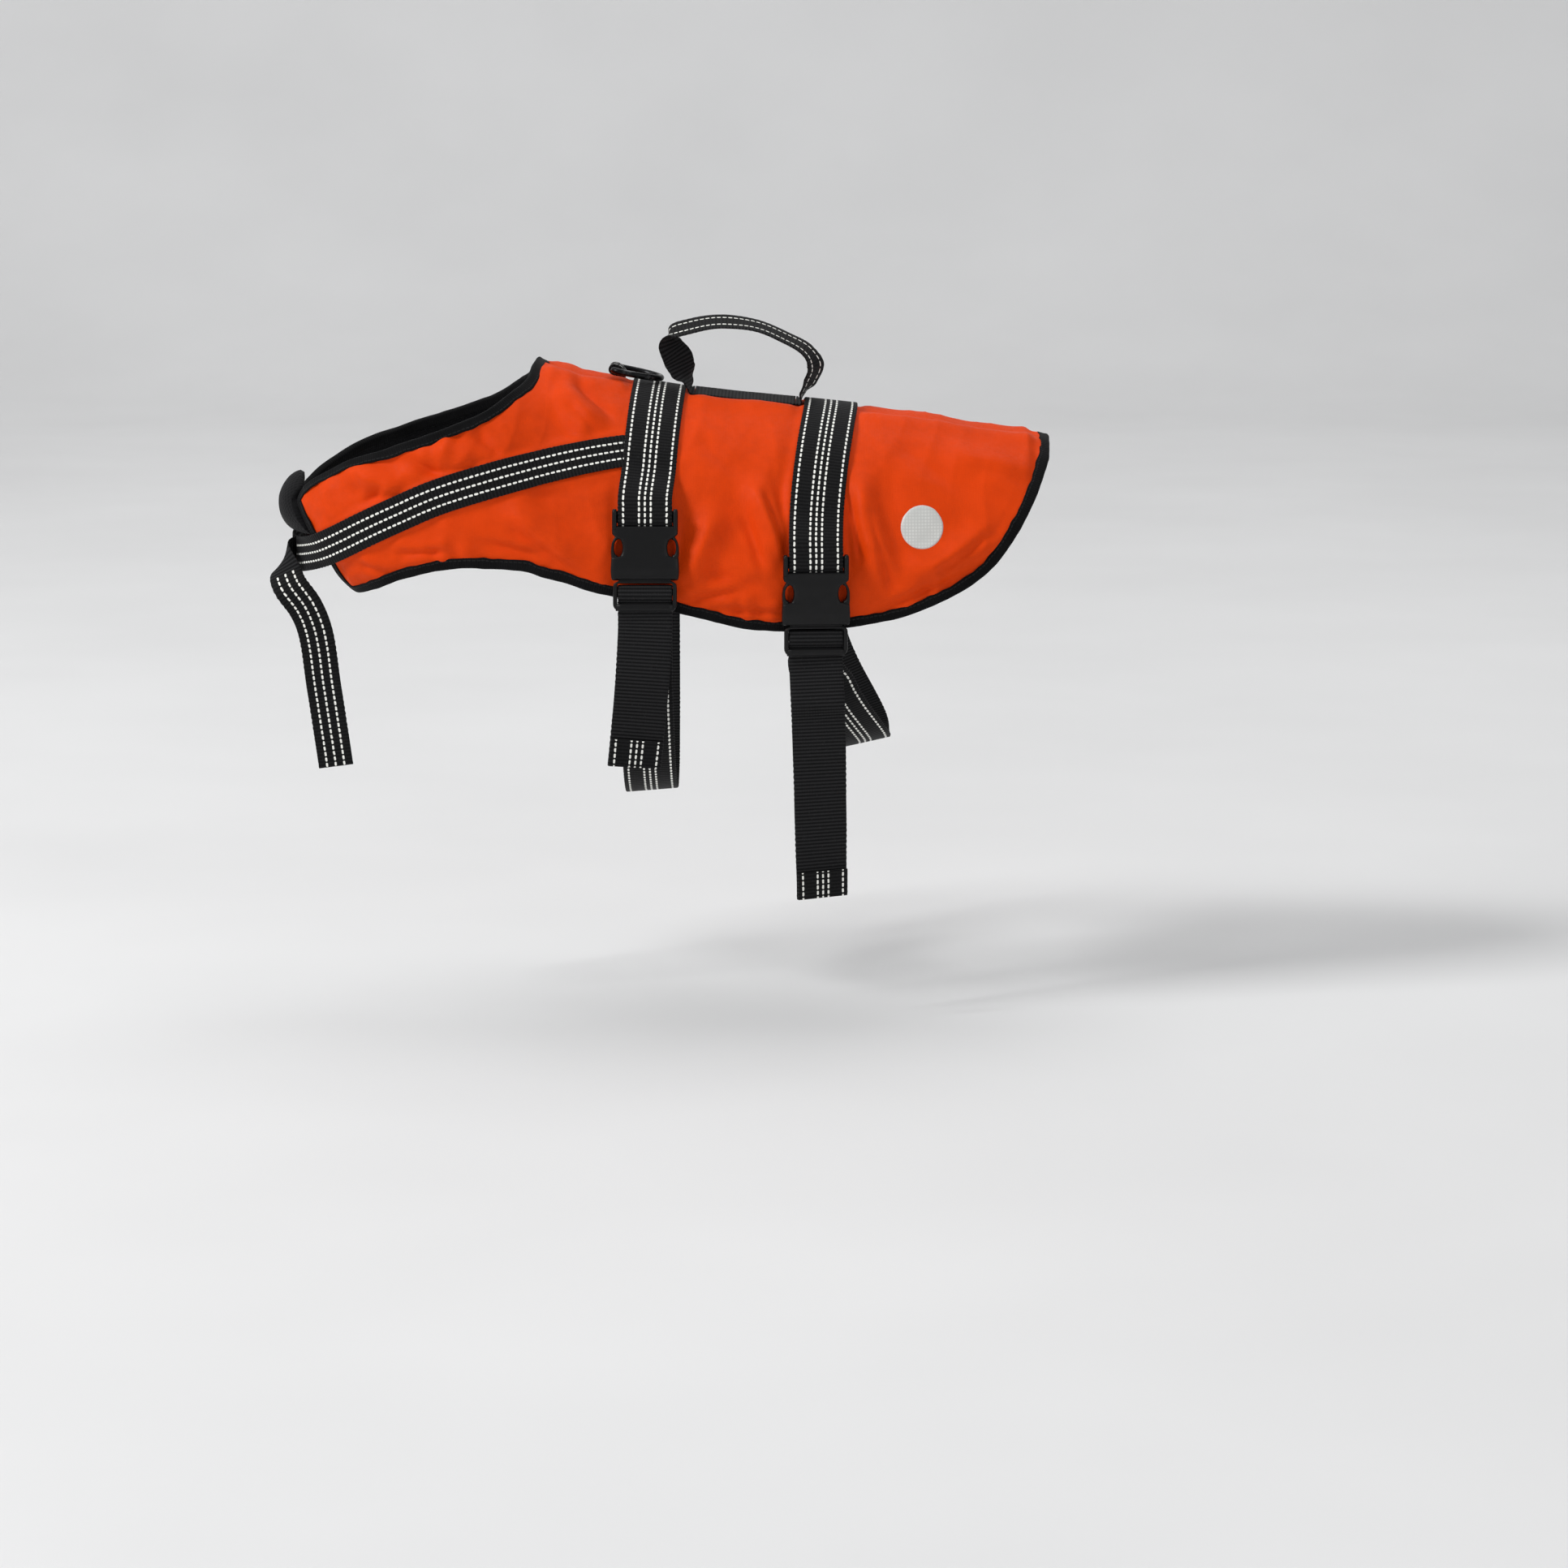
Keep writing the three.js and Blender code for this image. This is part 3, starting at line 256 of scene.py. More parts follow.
# The chest webbing's middle line on the left wing in side view.
CHEST_LINE = np.array([
    (-89.5, -30.2), (-110, -33), (-137, -37.8), (-175, -45.5), (-213, -56.5), (-240, -68), (-262, -78.5),
    (-281, -88.5), (-294, -94.5),
])


def outline_places():
    """Section and angle of the top and hem edges at each outline row, for the left and the right panel."""
    places = {key: [] for key in ("top", "right_top", "left", "right")}
    for top_x, top_z, hem_x, hem_z, reach in OUTLINE:
        on_spine = top_z is SPINE_ROW
        places["top"].append((top_x, 0) if on_spine else side_view(top_x, top_z))
        places["right_top"].append((top_x, 0) if on_spine else side_view(top_x - reach / 2, top_z))
        places["left"].append(side_view(hem_x, hem_z))
        places["right"].append(side_view(hem_x - reach, hem_z))
    return {key: np.array(value, float) for key, value in places.items()}


PLACES = outline_places()


def place(edge, s):
    """Section and angle of an edge at outline parameter s, which counts the rows."""
    rows = np.arange(len(OUTLINE))
    return monotone(rows, PLACES[edge][:, 0], s), monotone(rows, PLACES[edge][:, 1], s)


def run_of(points):
    """Distance run along a polyline at each of its points."""
    return np.concatenate(([0], np.cumsum(np.linalg.norm(np.diff(points, axis=0), axis=1))))


def at_run(stops, run, rows):
    """Rows of three numbers at even stops of the run, by straight interpolation."""
    return np.stack([np.interp(stops, run, rows[:, k]) for k in range(3)], -1)


def hem_stops(step):
    """Outline parameters spaced evenly along the hem, with the nape kept."""
    s = np.linspace(0, len(OUTLINE) - 1, 4001)
    run = run_of(figure(*place("left", s)))
    nape = np.interp(NAPE_ROW, s, run)
    front = np.linspace(0, nape, max(2, round(nape / step)) + 1)
    rear = np.linspace(nape, run[-1], max(2, round((run[-1] - nape) / step)) + 1)
    return np.interp(np.concatenate((front, rear[1:])), run, s), len(front) - 1


PANEL_STOPS, NAPE_STOP = hem_stops(1.8)
PANEL_ROWS = 100
# How near the spine plane a panel may come.
SPINE_GAP = 0.03


def row_stops(count):
    """Fractions from edge to edge that crowd a little at both: half even, half cosine."""
    u = np.linspace(0, 1, count + 1)
    return (u + (1 - np.cos(np.pi * u)) / 2) / 2


def panel_base(side):
    """The panel on the figure: straight runs in section and angle from the neck and spine edge to the hem."""
    top_key, hem_key = ("top", "left") if side < 0 else ("right_top", "right")
    top = np.stack(place(top_key, PANEL_STOPS), -1)[:, None]
    hem = np.stack(place(hem_key, PANEL_STOPS), -1)[:, None]
    spot = top + (hem - top) * row_stops(PANEL_ROWS)[None, :, None]
    section, angle = spot[..., 0], -side * spot[..., 1]
    base = figure(section, angle)
    base[..., 1] = side * np.maximum(base[..., 1] * side, SPINE_GAP)
    return base, outward(section, angle)


def nearest(points, line):
    """Distance from each point to the nearest point of a finely spaced line."""
    flat = points.reshape(-1, 3)
    squares = (flat ** 2).sum(1)[:, None] + (line ** 2).sum(1)[None] - 2 * flat @ line.T
    return np.sqrt(np.maximum(squares.min(1), 0)).reshape(points.shape[:-1])


def fine_line(points, step=1.2):
    """The polyline resampled evenly."""
    run = run_of(points)
    return at_run(np.linspace(0, run[-1], int(run[-1] / step) + 2), run, points)


def crinkle_field(u, v, seed, sizes):
    """Soft uneven creases: for each size a few waves in seeded directions, bent by slower waves, and
    sharpened so that ridges are narrow and hollows wide."""
    rng = np.random.default_rng(seed)
    total = np.zeros_like(u)
    for size, weight in sizes:
        angle, phase = rng.uniform(0, np.pi), rng.uniform(0, 2 * np.pi, 4)
        bend = size * 0.55 * (np.sin(u / (size * 1.9) + phase[0]) + np.cos(v / (size * 1.5) + phase[1]))
        across = u * np.cos(angle) + v * np.sin(angle) + bend
        fade = 0.5 + 0.5 * np.sin(u / (size * 2.7) + phase[2]) * np.cos(v / (size * 2.3) + phase[3])
        total += weight * fade * (1 - 2 * np.abs(np.sin(across / size)) ** 0.7)
    return total


def strap_distance(x, z):
    """Side-view distance past the edge of the nearest strap that lies on the panel: 0 or less under one."""
    over = smooth(z, -60, 10)
    middles = [over * g["spine_x"] + (1 - over) * g["buckle_x"] for g in GIRTHS.values()]
    girth = np.min([np.abs(x - middle) - HALF_GIRTH for middle in middles], axis=0)
    a, b = CHEST_LINE[:-1], CHEST_LINE[1:]
    p = np.stack((x, z), -1)[..., None, :]
    t = np.clip(((p - a) * (b - a)).sum(-1) / ((b - a) ** 2).sum(-1), 0, 1)
    chest = np.linalg.norm(p - (a + t[..., None] * (b - a)), axis=-1).min(-1) - HALF_CHEST
    return np.minimum(girth, chest)


# The swell beside the spine seam, the ridge along a strap, how far the panels tilt under the handle's strip,
# the gain and the bow of the creases, and the height of the small gathers along the edges.
PUFF = {"height": 3.0, "from_spine": 25, "width": 8.5}
STRAP_RIDGE = 0.75
HANDLE_SEAT = 1.5
CREASE_GAIN = 3.3
CREASE_BOW = 1.8
GATHER = 1.0
CRINKLE_SEEDS = {-1: 11, 1: 23}
CRINKLE_SIZES = ((13, 0.62), (8.5, 0.42), (5.2, 0.24))


def crease_height(x, z):
    """Sum of the placed creases: each a ridge exp(-(d/w)^2) with a shallower trough 1.7 w aside, where d is
    the distance from its bowed line and w its width, faded at both ends."""
    total = np.zeros_like(x)
    for from_x, from_z, to_x, to_z, width, rise in CREASES:
        run = np.array((to_x - from_x, to_z - from_z), float)
        t = ((x - from_x) * run[0] + (z - from_z) * run[1]) / (run @ run)
        aside = np.hypot(x - from_x - t * run[0], z - from_z - t * run[1])
        bow = aside + CREASE_BOW * np.sin(np.pi * np.clip(t, 0, 1))
        ends = smooth(t, -0.25, 0.3) * (1 - smooth(t, 0.7, 1.25))
        fold = np.exp(-(bow / width) ** 2) - 0.45 * np.exp(-((bow - 1.7 * width) / width) ** 2)
        total += rise * ends * fold
    return total


def gather_height(x):
    """Small gathers along the bound edge: a sine of x bent by a slower one and swelling with a third."""
    return np.sin(x / 3.4 + 1.6 * np.sin(x / 11)) * (0.55 + 0.45 * np.sin(x / 17 + 0.6))


def panel_surface(side, sizes):
    """Inner and outer points of a panel. Its thickness grows from the bound edges and the spine seam, swells
    away from the straps, and carries the creases, the fine crinkle and the gathers."""
    base, normal = panel_base(side)
    border = fine_line(np.concatenate((base[0], base[1:, -1], base[-1, ::-1][1:])))
    neck = fine_line(base[:NAPE_STOP + 1, 0])
    spine = fine_line(base[NAPE_STOP:, 0])
    to_edge = np.minimum(nearest(base, border), nearest(base, neck))
    to_spine = nearest(base, spine)
    full, edge, seam, taper = sizes.full / MM, sizes.edge / MM, sizes.spine / MM, sizes.taper / MM
    from_edge, from_spine = smooth(to_edge, 0, taper), smooth(to_spine, 0, taper)
    inside = from_edge * from_spine
    x, z = base[..., 0], base[..., 2]
    past = strap_distance(x, z)
    thick = np.minimum(edge + (full - edge) * from_edge, seam + (full - seam) * from_spine)
    thick += sizes.crown / MM * smooth(past, 0, 16) * inside * smooth(np.minimum(to_edge, to_spine), 8, 34)
    aside = (to_spine - PUFF["from_spine"]) / PUFF["width"]
    thick += PUFF["height"] * smooth(past, 0, 10) * from_edge * np.exp(-aside ** 2)
    thick += STRAP_RIDGE * inside * (1 - smooth(past, -1, 3))
    under_handle = smooth(x, -42, -34) * (1 - smooth(x, 38, 46)) * smooth(to_spine, 0, 8)
    thick += side * HANDLE_SEAT * under_handle * (1 - smooth(to_spine, 13, 19))
    thick += CREASE_GAIN * smooth(past, 0, 6) * smooth(to_edge, 2, 10) * crease_height(x, z)
    soft = crinkle_field(x, z, CRINKLE_SEEDS[side], CRINKLE_SIZES)
    away = smooth(past, -1, 7) * smooth(to_edge, 6, 14) * smooth(to_spine, 4, 16)
    thick += sizes.crinkle / MM * soft * away
    by_edge = smooth(to_edge, 2, 8) * (1 - smooth(to_edge, 10, 30))
    thick += GATHER * gather_height(x) * by_edge * smooth(past, -2, 4)
    outer = base + normal * thick[..., None]
    outer[..., 1] = side * np.maximum(outer[..., 1] * side, SPINE_GAP)
    return base, outer


# Meshes


def signed_volume(points, faces):
    """Six times the signed volume within the faces: the sum of triple products of their corners."""
    total = 0.0
    for k in range(1, faces.shape[1] - 1):
        a, b, c = points[faces[:, 0]], points[faces[:, k]], points[faces[:, k + 1]]
        total += np.einsum("ij,ij->", a, np.cross(b, c))
    return total


def make_object(name, points, parts, materials, uv=None):
    """A mesh object in metres from points in mm. parts is a list of (faces, material index), each an array of
    corner numbers or a list of them. One closed body is turned so that its faces point outwards."""
    points = np.asarray(points, float)
    volume = sum(signed_volume(points, f) for f, _ in parts if isinstance(f, np.ndarray))
    faces, slots = [], []
    for part, slot in parts:
        rows = part.tolist() if isinstance(part, np.ndarray) else [list(f) for f in part]
        if volume < 0:
            rows = [row[::-1] for row in rows]
        faces += rows
        slots += [slot] * len(rows)
    mesh = bpy.data.meshes.new(name)
    mesh.from_pydata((points * MM).tolist(), [], faces)
    mesh.polygons.foreach_set("material_index", slots)
    mesh.polygons.foreach_set("use_smooth", np.ones(len(faces), bool))
    for material in materials:
        mesh.materials.append(material)
    if uv is not None:
        corners = np.empty(len(mesh.loops), int)
        mesh.loops.foreach_get("vertex_index", corners)
        layer = mesh.uv_layers.new(name="flat")
        layer.data.foreach_set("uv", (np.asarray(uv, float)[corners] * MM).ravel())
    mesh.update()
    obj = bpy.data.objects.new(name, mesh)
    bpy.context.scene.collection.objects.link(obj)
    return obj


def grid_faces(rows, columns, start=0, wrap=False):
    """Quads of a grid of rows x columns points. wrap joins the last column to the first."""
    r = np.arange(rows - 1)[:, None]
    c = np.arange(columns if wrap else columns - 1)[None]
    d = (c + 1) % columns
    quads = np.stack((r * columns + c, r * columns + d, (r + 1) * columns + d, (r + 1) * columns + c), -1)
    return quads.reshape(-1, 4) + start


def ring_faces(rows, columns):
    """Quads of a tube of rows x columns points whose last row joins its first."""
    return grid_faces(rows + 1, columns, wrap=True) % (rows * columns)


def tube_parts(rows, columns):
    """Faces of a closed tube of rows x columns points: its side quads and its two end caps."""
    first, last = list(range(columns)), (rows - 1) * columns
    return grid_faces(rows, columns, wrap=True), [first[::-1], [last + corner for corner in first]]


def shell_parts(n, m):
    """Faces of a closed shell whose first n x m points are its inner side and the next its outer side: inner,
    outer and rim quads."""
    inner = grid_faces(n, m)[:, ::-1]
    outer = grid_faces(n, m, n * m)
    ring = np.concatenate((
        np.arange(m), np.arange(1, n) * m + m - 1, (n - 1) * m + np.arange(m - 2, -1, -1),
        np.arange(n - 2, 0, -1) * m))
    after = np.roll(ring, -1)
    rim = np.stack((ring, after, after + n * m, ring + n * m), -1)
    return inner, outer, rim


def catmull(points, fractions):
    """Centripetal Catmull-Rom curve through the points, at each of the fractions of every span."""
    p = np.concatenate(([2 * points[0] - points[1]], points, [2 * points[-1] - points[-2]]))
    p0, p1, p2, p3 = (p[k:len(p) - 3 + k][:, None] for k in range(4))
    d0, d1, d2 = (np.maximum(np.linalg.norm(b - a, axis=-1, keepdims=True) ** 0.5, 1e-3)
                  for a, b in ((p0, p1), (p1, p2), (p2, p3)))
    t1 = ((p1 - p0) / d0 - (p2 - p0) / (d0 + d1) + (p2 - p1) / d1) * d1
    t2 = ((p2 - p1) / d1 - (p3 - p1) / (d1 + d2) + (p3 - p2) / d2) * d1
    t = fractions[None, :, None]
    return p1 + t1 * t + (3 * (p2 - p1) - 2 * t1 - t2) * t ** 2 + (2 * (p1 - p2) + t1 + t2) * t ** 3


SPAN_STEPS = 24


def web_path(rows, step=1.6):
    """Evenly spaced frames along webbing rows (at, across): the curve's points, its width direction kept at
    right angles to the run, and the direction out of its face."""
    at = np.array([row[0] for row in rows], float)
    wide = np.array([row[1] for row in rows], float)
    fractions = np.linspace(0, 1, SPAN_STEPS + 1)[:-1]
    points = np.concatenate((catmull(at, fractions).reshape(-1, 3), at[-1:]))
    ease = smooth(fractions, 0, 1)[None, :, None]
    between = (1 - ease) * wide[:-1, None] + ease * wide[1:, None]
    across = np.concatenate((between.reshape(-1, 3), wide[-1:]))
    run = run_of(points)
    stops = np.linspace(0, run[-1], max(3, int(run[-1] / step) + 1))
    points, across = at_run(stops, run, points), at_run(stops, run, across)
    tangent = unit(np.gradient(points, axis=0))
    across = unit(across - (across * tangent).sum(-1, keepdims=True) * tangent)
    return {"at": points, "across": across, "out": np.cross(across, tangent), "run": stops}


WEB_COLUMNS = 14
WEB_EDGE = 4


def web_profile(width, thick):
    """Closed section of webbing as offsets (across, out): two flat faces that swell a little in the middle,
    joined by round edges."""
    round_off = thick * 0.45
    half, turn = width / 2 - round_off, np.linspace(-np.pi / 2, np.pi / 2, WEB_EDGE + 2)[1:-1]
    a = np.linspace(-half, half, WEB_COLUMNS)
    rise = thick / 2 * (0.94 + 0.06 * np.cos(a / half * np.pi / 2))
    right = np.stack((half + round_off * np.cos(turn), round_off * np.sin(turn)), -1)
    bottom, top = np.stack((a, -rise), -1), np.stack((a[::-1], rise[::-1]), -1)
    return np.concatenate((bottom, right, top, right[::-1] * (-1, 1)))


def web_object(name, path, width, thick, face, materials, wobble=0.12, plain=0):
    """Webbing swept along a path. face is the side, +1 or -1 along out, that carries the reflective lines,
    and its first plain mm are without them. The face sways by about wobble mm and the edges are faintly
    scalloped, as woven tape's are: sums of sines of the run."""
    section, run = web_profile(width, thick), path["run"]
    sway = 0.6 * wobble * (np.sin(run / 13 + len(name)) + 0.6 * np.sin(run / 5.3 + 2.1))
    depth = 0.006 * (2 * HALF_GIRTH) / width
    scallop = 1 + depth * np.sin(run * 1.55 + len(name)) * (1 + np.sin(run / 7.7))
    across = (section[None, :, 0] * scallop[:, None])[..., None] * path["across"][:, None]
    out = (section[None, :, 1] + sway[:, None])[..., None] * path["out"][:, None]
    points = path["at"][:, None] + across + out
    n, k = points.shape[:2]
    quads, caps = tube_parts(n, k)
    column = quads[:, 0] % k
    top_from = 0 if face < 0 else WEB_COLUMNS + WEB_EDGE
    lined = (column >= top_from) & (column < top_from + WEB_COLUMNS - 1) & (run[quads[:, 0] // k] >= plain)
    uv = np.stack(np.broadcast_arrays(section[None, :, 0], run[:, None]), -1).reshape(-1, 2)
    parts = [(quads[lined], 0), (quads[~lined], 1), (caps, 1)]
    return make_object(name, points.reshape(-1, 3), parts, materials, uv)


# Materials


# Pattern sizes in mm as drawn: a weave or rib too fine to show is drawn coarser, as its finish says.
WEAVE, TAPE_RIB, WARP = 1.1, 1.7, 1.9
LINING_MESH, PAD_MESH, FILM_CELL = 2.6, 3.4, 2.2
# Rows of dashed thread in mm: half a dash, the middle that is all thread and the rim where it ends.
TAPE_STITCH = {"row": 1.9, "pitch": 3.2, "half": 0.8, "middle": 0.3, "rim": 0.55}
BRIGHT_STITCH = {"half_of_pitch": 0.19, "middle": 0.88, "rim": 1.08, "fray": 0.5}
# Webbing colours: a painted highlight on the tops of the ribs, the lighter flecks of the nap, and the edge
# tape's thread.
RIB_HIGHLIGHT, NAP_FLECK, TAPE_THREAD = linear("#2B2B2C"), linear("#343435"), linear("#242425")
WORN_STEEL, WARM_NAP = linear("#555557"), linear("#FFBC7C")
COLOUR_MIX = {"output": 2, "data_type": "RGBA"}


def add_node(tree, kind, inputs=(), output=0, **settings):
    """Adds a shader node with its settings and gives one of its outputs. inputs holds a value or another
    node's output for each socket, in socket order or by socket name or number."""
    node = tree.nodes.new("ShaderNode" + kind)
    for key, value in settings.items():
        setattr(node, key, value)
    for key, value in (inputs if isinstance(inputs, dict) else dict(enumerate(inputs))).items():
        if isinstance(value, bpy.types.NodeSocket):
            tree.links.new(value, node.inputs[key])
        else:
            node.inputs[key].default_value = value
    return node.outputs[output]


def new_material(name, **sockets):
    """A material, its shader with the constant values straight on the sockets, and the adder of its nodes."""
    material = bpy.data.materials.new(name)
    material.use_nodes = True
    shader = material.node_tree.nodes["Principled BSDF"]
    for key, value in sockets.items():
        shader.inputs[key.replace("_", " ")].default_value = value
    return material, shader, partial(add_node, material.node_tree)


def join(material, shader, colour, relief, roughness=None):
    """Joins the colour, the relief and, where it varies, the roughness to the shader. The relief is a chain
    of layers (height, distance in mm, strength), each laid on the normal of the one before."""
    tree, normal = material.node_tree, None
    for height, distance, strength in relief:
        inputs = {"Height": height, "Distance": distance * MM, "Strength": strength}
        if normal is not None:
            inputs["Normal"] = normal
        normal = add_node(tree, "Bump", inputs)
    ends = {"Base Color": colour, "Normal": normal}
    if roughness is not None:
        ends["Roughness"] = roughness
    for key, output in ends.items():
        tree.links.new(output, shader.inputs[key])
    return material


def rgba(colour, gain=1.0):
    """The colour made lighter or darker by gain, with full cover."""
    return (*(min(1, c * gain) for c in colour), 1)


def places(add):
    """Where a point is: on the piece in metres, and the two coordinates of the cloth laid flat."""
    flat = add("TexCoord", output="UV")
    return add("TexCoord", output="Object"), add("SeparateXYZ", (flat,), 0), add("SeparateXYZ", (flat,), 1)


def blobs(vector, size, detail=3, roughness=0.55):
    """Inputs of a noise whose blobs are about size mm across."""
    return {"Vector": vector, "Scale": 1 / (size * MM), "Detail": detail, "Roughness": roughness}


def wave(add, coordinate, period):
    """A sine of the coordinate, in metres, that repeats every period mm: 0 to 1."""
    turn = add("Math", (coordinate, 2 * math.pi / (period * MM)), operation="MULTIPLY")
    return add("Math", (add("Math", (turn,), operation="SINE"), 0.5, 0.5), operation="MULTIPLY_ADD")


def gap_from(add, coordinate, place_mm):
    """Distance of the coordinate from a line."""
    aside = add("Math", (coordinate, place_mm * MM), operation="SUBTRACT")
    return add("Math", (aside,), operation="ABSOLUTE")


def dash_distance(add, gap, along, pitch, half):
    """Distance from the nearest dash of a row: the root of the squared gap from the row and the squared
    overrun past half a dash, where the run folds back and forth over half a pitch."""
    folded = add("Math", (along, pitch / 2), operation="PINGPONG")
    over = add("Math", (add("Math", (folded, half), operation="SUBTRACT"), 0.0), operation="MAXIMUM")
    squares = [add("Math", (leg, 2.0), operation="POWER") for leg in (gap, over)]
    return add("Math", (add("Math", squares, operation="ADD"),), operation="SQRT")


def shell_material(sizes):
    """Polyester oxford, woven plain and coated: a matt, slightly waxy cloth with crushed creases and uneven
    wear. The thread is 0.5 mm, too fine to show, so the weave is drawn at 1.1 mm."""
    material, shader, add = new_material(
        "coated_polyester_oxford", Sheen_Weight=0.02, Sheen_Roughness=0.45, Sheen_Tint=rgba(WARM_NAP),
        Specular_IOR_Level=0.12)
    object_at, u, v = places(add)
    weave = add("Math", (wave(add, u, WEAVE), wave(add, v, WEAVE)), operation="MULTIPLY")
    cloud = add("MapRange", (add("TexNoise", blobs(object_at, 70, 4)), 0.35, 0.7))
    crush = add("TexNoise", blobs(object_at, 9, 5, 0.6))
    fine = add("TexNoise", blobs(object_at, 2.6, 2))
    colour = sizes.shell
    base = add("Mix", {0: cloud, 6: rgba(colour, 0.9), 7: rgba(colour, 1.07)}, **COLOUR_MIX)
    wear = add("MapRange", (crush, 0.3, 0.75, 0, 0.55))
    worn = add("Mix", {0: wear, 6: base, 7: rgba(colour, 1.16)}, **COLOUR_MIX)
    shade = add("Math", (weave, 0.22), operation="MULTIPLY")
    thread = add("Mix", {0: shade, 6: worn, 7: rgba(colour, 0.72)}, **COLOUR_MIX)
    relief = ((crush, 0.5, 0.35), (fine, 0.12, 0.3), (weave, 0.12, 0.35))
    return join(material, shader, thread, relief, add("MapRange", (fine, 0.3, 0.7, 0.55, 0.7)))


def knit_material(name, colour, cell):
    """Polyester mesh, knitted in the warp: small round holes in staggered rows, dull and slightly fuzzy."""
    material, shader, add = new_material(
        name, Roughness=0.85, Sheen_Weight=0.04, Sheen_Roughness=0.6, Specular_IOR_Level=0.12)
    object_at, u, v = places(add)
    slants = [wave(add, add("Math", (u, v), operation=way), cell) for way in ("ADD", "SUBTRACT")]
    hole = add("Math", slants, operation="MULTIPLY")
    fuzz = add("TexNoise", blobs(object_at, 1.4))
    cloud = add("MapRange", (add("TexNoise", blobs(object_at, 40)), 0.3, 0.7))
    cloth = add("Mix", {0: cloud, 6: rgba(colour, 0.85), 7: rgba(colour, 1.5)}, **COLOUR_MIX)
    # Painted shade: the holes are painted darker, as recesses in shadow.
    depth = add("MapRange", (hole, 0.45, 0.8))
    tint = add("Mix", {0: depth, 6: cloth, 7: rgba(colour, 0.35)}, **COLOUR_MIX)
    yarn = add("Math", (1.0, hole), operation="SUBTRACT")
    return join(material, shader, tint, ((yarn, 0.4, 0.6), (fuzz, 0.15, 0.4)))


def binding_material(colour):
    """Grosgrain tape, woven with ribs across it and folded over the edge under one row of stitches: matt and
    finely ribbed. The ribs are 1.2 mm apart and are drawn at 1.7 mm."""
    material, shader, add = new_material(
        "grosgrain_tape", Roughness=0.8, Sheen_Weight=0.03, Sheen_Roughness=0.5, Specular_IOR_Level=0.1)
    object_at, u, v = places(add)
    ribs = wave(add, v, TAPE_RIB)
    near = dash_distance(
        add, gap_from(add, u, TAPE_STITCH["row"]), v, TAPE_STITCH["pitch"] * MM, TAPE_STITCH["half"] * MM)
    stitch = add("MapRange", (near, TAPE_STITCH["middle"] * MM, TAPE_STITCH["rim"] * MM, 1, 0))
    cloud = add("TexNoise", blobs(object_at, 14, 4))
    rub = add("MapRange", (cloud, 0.35, 0.7))
    cloth = add("Mix", {0: rub, 6: rgba(colour, 0.9), 7: rgba(colour, 1.9)}, **COLOUR_MIX)
    shown = add("Math", (stitch, 0.8), operation="MULTIPLY")
    tint = add("Mix", {0: shown, 6: cloth, 7: rgba(TAPE_THREAD)}, **COLOUR_MIX)
    return join(material, shader, tint, ((ribs, 0.3, 0.5), (stitch, 0.35, 0.8), (cloud, 0.5, 0.25)))


def webbing_material(name, sizes, lines, ribs):
    """Nylon webbing, woven narrow and thick: ribs across it, a finer warp along it, a faint nap and sheen.
    lines are the distances from the middle, in mm, of the rows of reflective thread stitched through it, each
    a row of rounded dashes on both sides. ribs is how much the rib tops are painted lighter, a painted
    highlight where they would catch the light. The warp is finer on the real webbing and is drawn at 1.9 mm."""
    material, shader, add = new_material(
        name, Roughness=0.7, Sheen_Weight=0.03, Sheen_Roughness=0.4, Specular_IOR_Level=0.12)
    colour = sizes.cloth
    object_at, u, v = places(add)
    across = add("Math", (u,), operation="ABSOLUTE")
    nap = add("TexNoise", blobs(object_at, 1.8))
    cloud = add("MapRange", (add("TexNoise", blobs(object_at, 22)), 0.3, 0.7))
    rib = wave(add, v, sizes.rib / MM)
    woven = add("Math", (rib, wave(add, u, WARP)), operation="MULTIPLY")
    low = add("Math", (rib, 0.65), operation="MULTIPLY")
    height = add("Math", (woven, 0.35, low), operation="MULTIPLY_ADD")
    dull = add("Mix", {0: cloud, 6: rgba(colour, 0.8), 7: rgba(colour, 1.7)}, **COLOUR_MIX)
    # Painted highlight: the rib tops are painted lighter, where they would catch the light.
    caught = add("Math", (rib, ribs), operation="MULTIPLY")
    ridged = add("Mix", {0: caught, 6: dull, 7: rgba(RIB_HIGHLIGHT)}, **COLOUR_MIX)
    # Lighter flecks where the nap noise is high.
    fuzz = add("MapRange", (nap, 0.62, 0.8, 0, 0.5))
    cloth = add("Mix", {0: fuzz, 6: ridged, 7: rgba(NAP_FLECK)}, **COLOUR_MIX)
    if not lines:
        return join(material, shader, cloth, ((height, 0.6, 0.8), (nap, 0.15, 0.3)))
    gap = gap_from(add, across, lines[0])
    for place_mm in lines[1:]:
        gap = add("Math", (gap, gap_from(add, across, place_mm)), operation="MINIMUM")
    near = dash_distance(add, gap, v, sizes.dash, sizes.dash * BRIGHT_STITCH["half_of_pitch"])
    frayed = add("Math", (nap, BRIGHT_STITCH["fray"] * MM, near), operation="MULTIPLY_ADD")
    thread = add("MapRange", (frayed, BRIGHT_STITCH["middle"] * MM, BRIGHT_STITCH["rim"] * MM, 1, 0))
    tint = add("Mix", {0: thread, 6: cloth, 7: rgba(sizes.thread)}, **COLOUR_MIX)
    relief = ((height, 0.35, 0.5), (nap, 0.15, 0.3), (thread, 0.4, 0.7))
    return join(material, shader, tint, relief, add("MapRange", (thread, 0, 1, 0.66, 0.34)))


